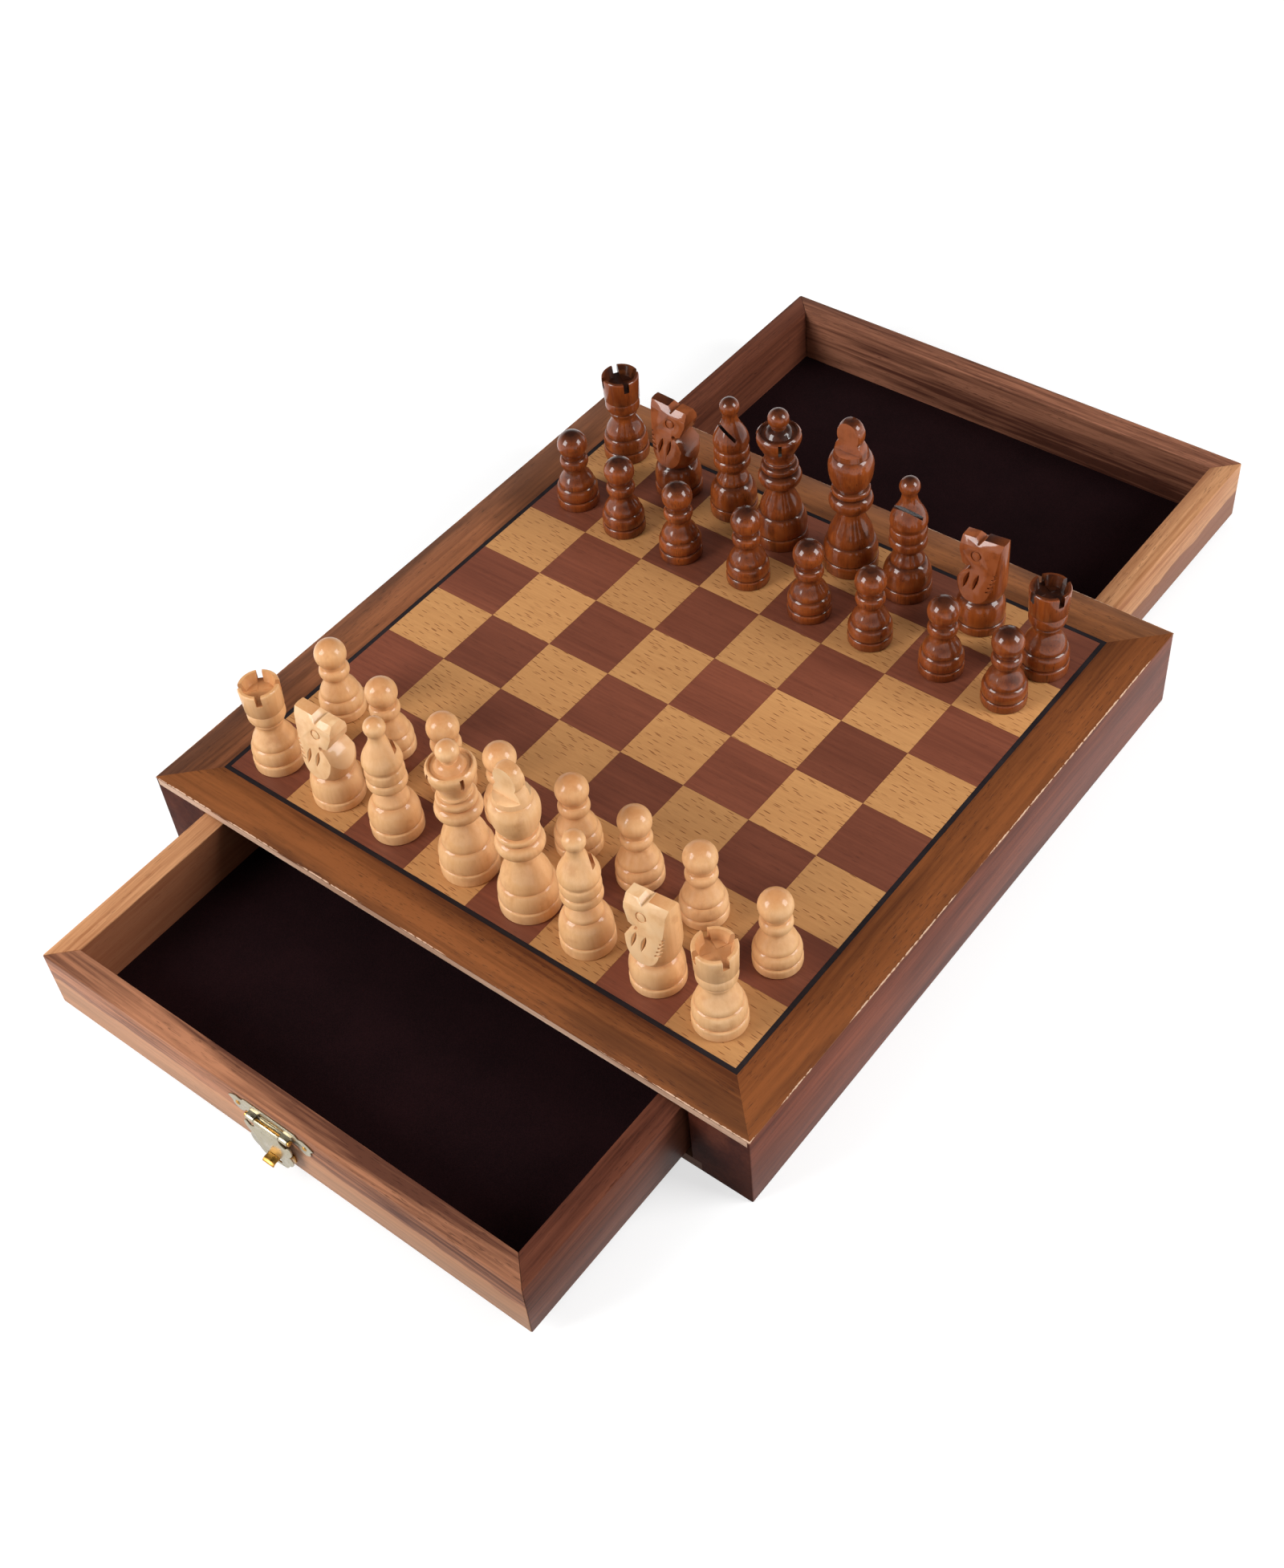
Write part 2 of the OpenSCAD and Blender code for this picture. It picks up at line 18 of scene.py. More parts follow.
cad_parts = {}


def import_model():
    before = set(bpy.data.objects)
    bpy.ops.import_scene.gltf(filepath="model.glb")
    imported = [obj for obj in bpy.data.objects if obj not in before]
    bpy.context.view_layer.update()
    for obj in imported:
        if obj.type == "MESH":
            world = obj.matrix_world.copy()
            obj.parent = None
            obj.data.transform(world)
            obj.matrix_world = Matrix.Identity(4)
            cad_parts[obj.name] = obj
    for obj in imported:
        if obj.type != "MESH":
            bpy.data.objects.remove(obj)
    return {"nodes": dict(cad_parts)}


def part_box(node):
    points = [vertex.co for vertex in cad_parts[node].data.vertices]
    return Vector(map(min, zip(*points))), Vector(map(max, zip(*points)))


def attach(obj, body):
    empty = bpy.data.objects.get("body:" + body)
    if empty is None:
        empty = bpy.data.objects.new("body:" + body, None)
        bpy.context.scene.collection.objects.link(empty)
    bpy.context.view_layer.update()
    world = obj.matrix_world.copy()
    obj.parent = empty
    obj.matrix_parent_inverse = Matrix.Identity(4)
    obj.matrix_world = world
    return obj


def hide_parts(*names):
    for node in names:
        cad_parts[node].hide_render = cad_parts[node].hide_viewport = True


LOG = logging.getLogger("chess_box")
MM = 0.001
NEAR = 0.1 * MM  # what lies within this counts as touching

Point = tuple[float, float]
Colour = tuple[float, float, float, float]
Socket = bpy.types.NodeSocket


class Grain(Enum):
    """The way a piece of wood's grain runs."""

    X = "x"
    Y = "y"
    Z = "z"


class End(Enum):
    """The two drawers."""

    FRONT = "front"
    REAR = "rear"


def srgb(red: int, green: int, blue: int) -> Colour:
    """Turns a screen colour into a linear one.

    Args:
        red: red, 0 to 255.
        green: green, 0 to 255.
        blue: blue, 0 to 255.

    Returns:
        The linear colour with an alpha of 1.
    """

    def linear(value: int) -> float:
        """One channel of the colour."""
        share = value / 255
        return share / 12.92 if share <= 0.04045 else ((share + 0.055) / 1.055) ** 2.4

    return linear(red), linear(green), linear(blue), 1.0


# ------------------------------------------------------------------------------------------------ modelling


class Bench:
    """The modelling operations that the pieces share, each done as by hand with Blender's operators."""

    ROUNDING = 2  # facets across a rounded edge

    @staticmethod
    def clear() -> None:
        """Leaves edit mode and selects nothing."""
        if bpy.context.object and bpy.context.object.mode != "OBJECT":
            bpy.ops.object.mode_set(mode="OBJECT")
        bpy.ops.object.select_all(action="DESELECT")

    @staticmethod
    def take(piece: bpy.types.Object) -> None:
        """Selects one piece alone and makes it active.

        Args:
            piece: the piece.
        """
        Bench.clear()
        bpy.context.view_layer.objects.active = piece
        piece.select_set(True)

    @staticmethod
    def _named(name: str) -> bpy.types.Object:
        """Names the piece just added, and puts its place into its mesh.

        Args:
            name: the piece's name.

        Returns:
            The piece.
        """
        piece = bpy.context.object
        piece.name = piece.data.name = name
        bpy.ops.object.transform_apply(location=True, rotation=True, scale=True)
        return piece

    @staticmethod
    def block(name: str, low: Sequence[float], high: Sequence[float]) -> bpy.types.Object:
        """A rectangular blank.

        Args:
            name: the piece's name.
            low: its lowest corner.
            high: its highest corner.

        Returns:
            The piece.
        """
        Bench.clear()
        low, high = Vector(low), Vector(high)
        bpy.ops.mesh.primitive_cube_add(size=1, location=(low + high) / 2, scale=high - low)
        return Bench._named(name)

    @staticmethod
    def rod(
        name: str, low: Vector, high: Vector, radius: float, sides: int = 32, top: float | None = None,
    ) -> bpy.types.Object:
        """A round bar or cone from one point to another.

        Args:
            name: the piece's name.
            low: the middle of its first end.
            high: the middle of its last end.
            radius: its radius.
            sides: how many faces go round it.
            top: the radius at the last end, if it differs.

        Returns:
            The piece.
        """
        Bench.clear()
        along = high - low
        bpy.ops.mesh.primitive_cone_add(
            vertices=sides,
            radius1=radius,
            radius2=radius if top is None else top,
            depth=along.length,
            location=(low + high) / 2,
            rotation=along.to_track_quat("Z", "Y").to_euler(),
        )
        return Bench._named(name)

    @staticmethod
    def chain(name: str, points: Sequence[Sequence[float]], closed: bool) -> bpy.types.Object:
        """A chain of edges, drawn by extruding one point along the others.

        Args:
            name: the piece's name.
            points: where the chain goes.
            closed: whether the chain is closed and filled.

        Returns:
            The piece.
        """
        Bench.clear()
        bpy.ops.mesh.primitive_plane_add(size=MM)
        piece = Bench._named(name)
        bpy.ops.object.mode_set(mode="EDIT")
        bpy.ops.mesh.select_mode(type="VERT")
        bpy.ops.mesh.select_all(action="SELECT")
        bpy.ops.mesh.merge(type="CENTER")
        bpy.ops.transform.translate(value=points[0])
        for before, after in zip(points, points[1:]):
            step = Vector(after) - Vector(before)
            bpy.ops.mesh.extrude_vertices_move(TRANSFORM_OT_translate={"value": step})
        if closed:
            bpy.ops.mesh.select_all(action="SELECT")
            bpy.ops.mesh.edge_face_add()
        bpy.ops.object.mode_set(mode="OBJECT")
        return piece

    @staticmethod
    def mend(piece: bpy.types.Object) -> None:
        """Merges doubled points and turns every face outwards.

        Args:
            piece: the piece.
        """
        Bench.take(piece)
        bpy.ops.object.mode_set(mode="EDIT")
        bpy.ops.mesh.select_all(action="SELECT")
        bpy.ops.mesh.remove_doubles(threshold=0.002 * MM)
        bpy.ops.mesh.normals_make_consistent(inside=False)
        bpy.ops.object.mode_set(mode="OBJECT")

    @staticmethod
    def turned(name: str, profile: Sequence[Point], steps: int) -> bpy.types.Object:
        """A piece turned on a lathe about Z.

        Args:
            name: the piece's name.
            profile: (radius, height) from the middle of the foot to the middle of the crown.
            steps: how many faces go round it.

        Returns:
            The piece.
        """
        piece = Bench.chain(name, [(radius, 0, height) for radius, height in profile], False)
        bpy.ops.object.mode_set(mode="EDIT")
        bpy.ops.mesh.select_all(action="SELECT")
        bpy.ops.mesh.spin(
            steps=steps, angle=2 * math.pi, axis=(0, 0, 1), center=(0, 0, 0), use_auto_merge=True,
        )
        bpy.ops.object.mode_set(mode="OBJECT")
        Bench.mend(piece)
        return piece

    @staticmethod
    def sheet(name: str, outline: Sequence[Point], back: float, thick: float) -> bpy.types.Object:
        """Sheet metal cut to an outline in the X-Z plane, standing out along -Y.

        Args:
            name: the piece's name.
            outline: (x, z) round the sheet.
            back: where its back lies in Y.
            thick: its thickness.

        Returns:
            The piece.
        """
        piece = Bench.chain(name, [(x, back, z) for x, z in outline], True)
        bpy.ops.object.mode_set(mode="EDIT")
        bpy.ops.mesh.select_all(action="SELECT")
        bpy.ops.mesh.extrude_region_move(TRANSFORM_OT_translate={"value": (0, -thick, 0)})
        bpy.ops.object.mode_set(mode="OBJECT")
        Bench.mend(piece)
        return piece

    @staticmethod
    def pick(piece: bpy.types.Object, kind: str, test: Callable[[object], bool]) -> None:
        """Goes into edit mode with only the elements that pass a test selected.

        Args:
            piece: the piece to shape.
            kind: VERT, EDGE or FACE.
            test: takes an element and says whether it is wanted.
        """
        Bench.take(piece)
        bpy.ops.object.mode_set(mode="EDIT")
        bpy.ops.mesh.select_mode(type=kind)
        bpy.ops.mesh.select_all(action="DESELECT")
        shape = bmesh.from_edit_mesh(piece.data)
        for element in {"VERT": shape.verts, "EDGE": shape.edges, "FACE": shape.faces}[kind]:
            if test(element):
                element.select_set(True)
        shape.select_flush(True)
        bmesh.update_edit_mesh(piece.data)

    @staticmethod
    def shift(piece: bpy.types.Object, test: Callable[[object], bool], step: Sequence[float]) -> None:
        """Moves the points that pass a test.

        Args:
            piece: the piece to shape.
            test: takes a point and says whether it moves.
            step: how far it moves.
        """
        Bench.pick(piece, "VERT", test)
        bpy.ops.transform.translate(value=step)
        bpy.ops.object.mode_set(mode="OBJECT")

    @staticmethod
    def ease(piece: bpy.types.Object, width: float, test: Callable[[object], bool]) -> None:
        """Rounds the edges that pass a test.

        Args:
            piece: the piece to shape.
            width: how wide the rounding is.
            test: takes an edge and says whether it is rounded.
        """
        Bench.pick(piece, "EDGE", test)
        bpy.ops.mesh.bevel(offset=width, segments=Bench.ROUNDING, affect="EDGES", clamp_overlap=True)
        bpy.ops.object.mode_set(mode="OBJECT")

    @staticmethod
    def combine(piece: bpy.types.Object, tool: bpy.types.Object, way: str = "DIFFERENCE") -> None:
        """Cuts a tool's shape out of a piece, or joins it on, and clears the tool away.

        Args:
            piece: the piece to shape.
            tool: what is cut out or joined on.
            way: DIFFERENCE or UNION.
        """
        Bench.take(piece)
        change = piece.modifiers.new("tool", "BOOLEAN")
        change.operation, change.solver, change.object = way, "EXACT", tool
        bpy.ops.object.modifier_apply(modifier=change.name)
        bpy.data.objects.remove(tool)

    @staticmethod
    def soften(piece: bpy.types.Object, width: float, angle: float) -> None:
        """Rounds every sharp edge with a bevel modifier, and applies it.

        Args:
            piece: the piece to shape.
            width: how wide the rounding is.
            angle: what counts as sharp, in degrees.
        """
        Bench.take(piece)
        change = piece.modifiers.new("eased", "BEVEL")
        change.width, change.segments, change.limit_method = width, Bench.ROUNDING, "ANGLE"
        change.angle_limit = math.radians(angle)
        bpy.ops.object.modifier_apply(modifier=change.name)

    @staticmethod
    def smooth(piece: bpy.types.Object, angle: float = 35) -> None:
        """Shades a piece smooth, apart from its sharp edges."""
        Bench.take(piece)
        bpy.ops.object.shade_smooth_by_angle(angle=math.radians(angle))

    @staticmethod
    def join(pieces: Sequence[bpy.types.Object], name: str) -> bpy.types.Object:
        """Joins several pieces into one.

        Args:
            pieces: the pieces.
            name: the name of the joined piece.

        Returns:
            The joined piece.
        """
        Bench.take(pieces[0])
        for piece in pieces:
            piece.select_set(True)
        bpy.ops.object.join()
        piece = bpy.context.object
        piece.name = piece.data.name = name
        return piece

    @staticmethod
    def copy(piece: bpy.types.Object, name: str, place: Matrix) -> bpy.types.Object:
        """Copies a piece with a mesh of its own, which holds its place.

        Args:
            piece: what is copied.
            name: the copy's name.
            place: where the copy goes, from where the piece is.

        Returns:
            The copy.
        """
        made = piece.copy()
        made.data = piece.data.copy()
        made.name = made.data.name = name
        bpy.context.scene.collection.objects.link(made)
        made.data.transform(place)
        made.data.update()
        return made


# ------------------------------------------------------------------------------------------------ outlines


def arc(middle: Point, radii: Point, start: float, end: float, count: int = 12) -> list[Point]:
    """Points along part of an ellipse.

    Args:
        middle: the ellipse's middle.
        radii: its two radii.
        start: the first angle, in degrees.
        end: the last angle.
        count: how many stretches there are.

    Returns:
        The points.
    """
    angles = [math.radians(start + (end - start) * i / count) for i in range(count + 1)]
    return [(middle[0] + radii[0] * math.cos(a), middle[1] + radii[1] * math.sin(a)) for a in angles]


def bead(radius: float, height: float, bulge: float, half: float) -> list[Point]:
    """A turned bead that stands out to a radius."""
    return arc((radius - bulge, height), (bulge, half), -80, 80, 12)


def collar(radius: float, height: float, under: float, over: float, half: float) -> list[Point]:
    """A bead that is cut in deeper below than above."""
    lower = arc((radius - under, height), (under, half), -80, 0, 8)
    return [*lower, *arc((radius - over, height), (over, half), 14, 80, 6)]


def swell(radius: float, height: float, bulge: float, half: float, band: float, end: float) -> list[Point]:
    """The swelling over the foot's groove: widest at a height, and up to a small step at an angle."""
    start = -math.degrees(math.asin((height - band - 0.4) / half))
    return arc((radius - bulge, height), (bulge, half), start, end, 14)


def skirt(low: Point, high: Point, count: int = 12) -> list[Point]:
    """A cosine curve between two points of a profile, as on the body of a turned man."""
    mean, swing = (low[0] + high[0]) / 2, (low[0] - high[0]) / 2
    return [
        (mean + swing * math.cos(math.pi * i / count), low[1] + (high[1] - low[1]) * i / count)
        for i in range(count + 1)
    ]


def foot(radius: float, band: float) -> list[Point]:
    """The banded base of a man, with a groove over it."""
    edge = arc((radius - 0.7, 0.7), (0.7, 0.7), -90, 0, 4)
    return [(0, 0), *edge, *arc((radius - 0.9, band - 1.3), (0.9, 1.3), 0, 88, 6)]


def curved(points: Sequence[Point], count: int) -> list[Point]:
    """A smooth curve through some points, from the first to the last.

    Args:
        points: the points.
        count: how many stretches there are between two points.

    Returns:
        The curve's points.
    """
    last = len(points) - 1
    made: list[Point] = []
    for i in range(last):
        a, b, c, d = (points[min(max(i + k, 0), last)] for k in (-1, 0, 1, 2))
        for step in range(count):
            t = step / count
            place = tuple(
                0.5 * (2 * b[k] + (c[k] - a[k]) * t + (2 * a[k] - 5 * b[k] + 4 * c[k] - d[k]) * t**2
                       + (3 * b[k] - a[k] - 3 * c[k] + d[k]) * t**3)
                for k in (0, 1)
            )
            made.append(place)
    return [*made, points[-1]]


def metres(points: Sequence[Point]) -> list[Point]:
    """Turns points in millimetres into metres."""
    return [(a * MM, b * MM) for a, b in points]


# ------------------------------------------------------------------------------------------------ shading


class Wiring:
    """Adds shader nodes to one tree and joins them."""

    def __init__(self, tree: bpy.types.NodeTree) -> None:
        """Keeps the tree."""
        self.tree = tree

    def add(self, kind: str, **settings: object) -> bpy.types.Node:
        """Adds a node with some of its settings.

        Args:
            kind: the node's type.
            **settings: its settings by name.

        Returns:
            The node.
        """
        node = self.tree.nodes.new(kind)
        for name, value in settings.items():
            setattr(node, name, value)
        return node

    def feed(self, socket: Socket, value: object) -> None:
        """Joins a socket to an input, or sets the input to a value.

        Args:
            socket: the socket to feed.
            value: an output to join, or a plain value.
        """
        if isinstance(value, bpy.types.NodeSocket):
            self.tree.links.new(value, socket)
        else:
            socket.default_value = value

    def maths(self, way: str, first: object, second: object = 0.0, clamp: bool = False) -> Socket:
        """One step of arithmetic.

        Args:
            way: which operation it is.
            first: the first value.
            second: the second value, where there is one.
            clamp: whether the result stays between 0 and 1.

        Returns:
            The result.
        """
        node = self.add("ShaderNodeMath", operation=way, use_clamp=clamp)
        self.feed(node.inputs[0], first)
        self.feed(node.inputs[1], second)
        return node.outputs[0]

    def times(self, first: object, second: object) -> Socket:
        """Multiplies two values."""
        return self.maths("MULTIPLY", first, second)

    def plus(self, first: object, second: object) -> Socket:
        """Adds two values."""
        return self.maths("ADD", first, second)

    def minus(self, first: object, second: object) -> Socket:
        """Takes the second value from the first."""
        return self.maths("SUBTRACT", first, second)

    def spread(self, value: object, low: float, high: float, to_low: float = 0, to_high: float = 1) -> Socket:
        """Maps a range of values to another one, smoothly and clamped.

        Args:
            value: the value.
            low: where its range starts.
            high: where its range ends.
            to_low: what low becomes.
            to_high: what high becomes.

        Returns:
            The mapped value.
        """
        node = self.add("ShaderNodeMapRange", interpolation_type="SMOOTHSTEP")
        for index, item in enumerate((value, low, high, to_low, to_high)):
            self.feed(node.inputs[index], item)
        return node.outputs[0]

    def blend(self, share: object, first: object, second: object) -> Socket:
        """Mixes two colours.

        Args:
            share: how much of the second colour there is.
            first: the first colour.
            second: the second colour.

        Returns:
            The mixed colour.
        """
        node = self.add("ShaderNodeMix", data_type="RGBA")
        self.feed(node.inputs[0], share)
        self.feed(node.inputs[6], first)
        self.feed(node.inputs[7], second)
        return node.outputs[2]

    def noise(self, where: Socket, scale: object, detail: float = 3, rough: float = 0.55) -> Socket:
        """A noise value.

        Args:
            where: the coordinates.
            scale: how fine the noise is.
            detail: how many finer layers it has.
            rough: how strong the finer layers are.

        Returns:
            The value, about 0.5 on average.
        """
        node = self.add("ShaderNodeTexNoise")
        self.feed(node.inputs["Vector"], where)
        self.feed(node.inputs["Scale"], scale)
        node.inputs["Detail"].default_value = detail
        node.inputs["Roughness"].default_value = rough
        return node.outputs["Fac"]

    def parts(self, where: Socket) -> list[Socket]:
        """Splits a vector.

        Args:
            where: the vector.

        Returns:
            Its three values.
        """
        node = self.add("ShaderNodeSeparateXYZ")
        self.feed(node.inputs[0], where)
        return list(node.outputs)

    def vector(self, x: object, y: object, z: object) -> Socket:
        """Makes a vector of three values.

        Args:
            x: the first value.
            y: the second value.
            z: the third value.

        Returns:
            The vector.
        """
        node = self.add("ShaderNodeCombineXYZ")
        for socket, value in zip(node.inputs, (x, y, z)):
            self.feed(socket, value)
        return node.outputs[0]

    def stretch(self, where: Socket, by: Sequence[float], shift: Sequence[float] = (0, 0, 0)) -> Socket:
        """Scales and shifts coordinates.

        Args:
            where: the coordinates.
            by: the scale along each axis.
            shift: how far they move.

        Returns:
            The new coordinates.
        """
        node = self.add("ShaderNodeMapping")
        self.feed(node.inputs["Vector"], where)
        node.inputs["Scale"].default_value = by
        node.inputs["Location"].default_value = shift
        return node.outputs[0]


class Effect:
    """A shader node group with named sockets, built once."""

    _made: dict[str, bpy.types.NodeTree] = {}

    def __init__(self, name: str, inputs: dict[str, tuple[str, object]], outputs: dict[str, str]) -> None:
        """Makes the group's sockets.

        Args:
            name: the group's name.
            inputs: each input's kind and default.
            outputs: each output's kind.
        """
        self.tree = bpy.data.node_groups.new(name, "ShaderNodeTree")
        self.wire = Wiring(self.tree)
        for title, (kind, default) in inputs.items():
            socket = self.tree.interface.new_socket(title, in_out="INPUT", socket_type=kind)
            if default is not None:
                socket.default_value = default
        for title, kind in outputs.items():
            self.tree.interface.new_socket(title, in_out="OUTPUT", socket_type=kind)
        self.given = self.wire.add("NodeGroupInput").outputs
        self.result = self.wire.add("NodeGroupOutput").inputs

    @classmethod
    def get(cls, name: str, build: Callable[[], "Effect"]) -> bpy.types.NodeTree:
        """Gives a group, building it the first time.

        Args:
            name: the group's name.
            build: makes the effect.

        Returns:
            The group's tree.
        """
        if name not in cls._made:
            cls._made[name] = build().tree
        return cls._made[name]


COLOR, FLOAT, VECTOR = "NodeSocketColor", "NodeSocketFloat", "NodeSocketVector"


def wood_figure() -> Effect:
    """Wood with its grain along X: broad bands, fine streaks and dark pores.

    Returns:
        The effect.
    """
    effect = Effect(
        "wood_figure",
        {
            "Vector": (VECTOR, None),
            "Pale": (COLOR, (0.6, 0.4, 0.2, 1)),
            "Deep": (COLOR, (0.3, 0.2, 0.1, 1)),
            "Pore": (COLOR, (0.1, 0.05, 0.03, 1)),
            "Bands": (FLOAT, 60.0),
            "Bend": (FLOAT, 0.01),
            "Streaks": (FLOAT, 900.0),
            "Streak share": (FLOAT, 0.35),
            "Contrast": (FLOAT, 1.0),
            "Pore share": (FLOAT, 0.5),
        },
        {"Color": COLOR, "Height": FLOAT},
    )
    wire, given = effect.wire, effect.given
    along, across, deep = wire.parts(given["Vector"])
    slow = wire.vector(wire.times(along, 0.12), across, deep)
    wobble = wire.minus(wire.noise(slow, wire.times(given["Bands"], 0.3), 2), 0.5)
    moved = wire.plus(across, wire.times(wobble, given["Bend"]))
    broad = wire.noise(wire.vector(wire.times(along, 0.07), moved, deep), given["Bands"], 3)
    phase = wire.times(wire.plus(moved, wire.times(broad, 0.02)), wire.times(given["Bands"], 5.0))
    figure = wire.plus(broad, wire.times(wire.maths("SINE", phase), 0.06))
    fine = wire.noise(wire.vector(wire.times(along, 0.035), moved, deep), given["Streaks"], 2, 0.6)
    tone = wire.plus(
        wire.times(figure, wire.minus(1.0, given["Streak share"])), wire.times(fine, given["Streak share"]),
    )
    centred = wire.times(wire.minus(tone, 0.5), wire.times(given["Contrast"], 3.2))
    share = wire.maths("ADD", centred, 0.5, clamp=True)
    body = wire.blend(share, given["Pale"], given["Deep"])
    pore_at = wire.vector(wire.times(along, 0.09), across, deep)
    pores = wire.spread(wire.noise(pore_at, 2400.0, 1, 0.5), 0.6, 0.7)
    patches = wire.spread(wire.noise(slow, 160.0, 1), 0.4, 0.6)
    shown = wire.times(wire.times(pores, given["Pore share"]), wire.plus(wire.times(patches, 0.7), 0.3))
    wire.feed(effect.result["Color"], wire.blend(shown, body, given["Pore"]))
    wire.feed(effect.result["Height"], wire.minus(wire.times(share, 0.35), shown))
    return effect


def veneer_square() -> Effect:
    """Gives each square its own leaf of veneer: other coordinates, and a tone.

    Returns:
        The effect.
    """
    effect = Effect(
        "veneer_square",
        {"Vector": (VECTOR, None), "Side": (FLOAT, 32 * MM)},
        {"Vector": VECTOR, "Tone": FLOAT},
    )
    wire, given = effect.wire, effect.given
    x, y, _ = wire.parts(given["Vector"])
    column = wire.maths("FLOOR", wire.maths("DIVIDE", x, given["Side"]))
    row = wire.maths("FLOOR", wire.maths("DIVIDE", y, given["Side"]))
    random = wire.add("ShaderNodeTexWhiteNoise", noise_dimensions="2D")
    wire.feed(random.inputs["Vector"], wire.vector(column, row, 0.0))
    shift = wire.add("ShaderNodeVectorMath", operation="MULTIPLY_ADD")
    wire.feed(shift.inputs[0], random.outputs["Color"])
    shift.inputs[1].default_value = (3.0, 3.0, 0.4)
    wire.feed(shift.inputs[2], given["Vector"])
    wire.feed(effect.result["Vector"], shift.outputs[0])
    wire.feed(effect.result["Tone"], random.outputs["Value"])
    return effect


def ray_flecks() -> Effect:
    """The short dark flecks of quartered beech, lying along X.

    Returns:
        The effect.
    """
    effect = Effect(
        "ray_flecks",
        {"Vector": (VECTOR, None), "Length": (FLOAT, 9 * MM), "Width": (FLOAT, 1.05 * MM)},
        {"Mask": FLOAT},
    )
    wire, given = effect.wire, effect.given
    x, y, _ = wire.parts(given["Vector"])
    row = wire.maths("DIVIDE", y, given["Width"])
    place = wire.plus(wire.maths("DIVIDE", x, given["Length"]), wire.times(row, 0.38))
    voronoi = wire.add("ShaderNodeTexVoronoi", voronoi_dimensions="2D")
    wire.feed(voronoi.inputs["Vector"], wire.vector(place, row, 0.0))
    voronoi.inputs["Scale"].default_value = 1.0
    near = wire.spread(voronoi.outputs["Distance"], 0.13, 0.22, 1, 0)
    chance = wire.parts(voronoi.outputs["Color"])[0]
    wire.feed(effect.result["Mask"], wire.maths("MULTIPLY", near, wire.spread(chance, 0.25, 0.75)))
    return effect


def rubbed_edge() -> Effect:
    """Where a box's outer edges are rubbed pale, from how far its sides and its top are.

    Returns:
        The effect.
    """
    effect = Effect(
        "rubbed_edge",
        {
            "Vector": (VECTOR, None),
            "Half x": (FLOAT, 0.15),
            "Half y": (FLOAT, 0.15),
            "Reach": (FLOAT, 1.2 * MM),
            "Top": (FLOAT, 0.04),
        },
        {"Mask": FLOAT},
    )
    wire, given = effect.wire, effect.given
    x, y, z = wire.parts(given["Vector"])
    to_x = wire.minus(given["Half x"], wire.maths("ABSOLUTE", x))
    to_y = wire.minus(given["Half y"], wire.maths("ABSOLUTE", y))
    side = wire.maths("MINIMUM", to_x, to_y)
    drop = wire.maths("ABSOLUTE", wire.maths("SUBTRACT", given["Top"], z))
    away = wire.maths("MAXIMUM", side, drop)
    rough = wire.noise(given["Vector"], 520.0, 4, 0.65)
    patch = wire.noise(given["Vector"], 45.0, 2, 0.5)
    worn = wire.maths("MULTIPLY", wire.spread(patch, 0.36, 0.56), wire.spread(rough, 0.25, 0.6))
    limit = wire.maths("MAXIMUM", wire.maths("MULTIPLY", given["Reach"], worn), 0.02 * MM)
    share = wire.maths("DIVIDE", away, limit)
    wire.feed(effect.result["Mask"], wire.maths("SUBTRACT", 1.0, wire.spread(share, 0.6, 1.0)))
    return effect


def metal_patina() -> Effect:
    """Thin sheet metal: cloudy plating with fine scratches and a few tarnished spots.

    Returns:
        The effect.
    """
    effect = Effect(
        "metal_patina",
        {
            "Vector": (VECTOR, None),
            "Bright": (COLOR, (0.8, 0.8, 0.7, 1)),
            "Tarnish": (COLOR, (0.3, 0.25, 0.15, 1)),
        },
        {"Color": COLOR, "Roughness": FLOAT, "Height": FLOAT},
    )
    wire, given = effect.wire, effect.given
    cloud = wire.noise(given["Vector"], 320.0, 4, 0.6)
    scratch = wire.noise(wire.stretch(given["Vector"], (300, 2600, 3400)), 1.0, 2)
    spots = wire.spread(wire.noise(given["Vector"], 900.0, 3, 0.7), 0.58, 0.74)
    worn = wire.maths("MULTIPLY", spots, wire.spread(cloud, 0.4, 0.65))
    wire.feed(effect.result["Color"], wire.blend(worn, given["Bright"], given["Tarnish"]))
    rough = wire.plus(wire.spread(cloud, 0.3, 0.7, 0.24, 0.4), wire.times(worn, 0.2))
    wire.feed(effect.result["Roughness"], rough)
    wire.feed(effect.result["Height"], wire.maths("ADD", wire.maths("MULTIPLY", scratch, 0.4), cloud))
    return effect


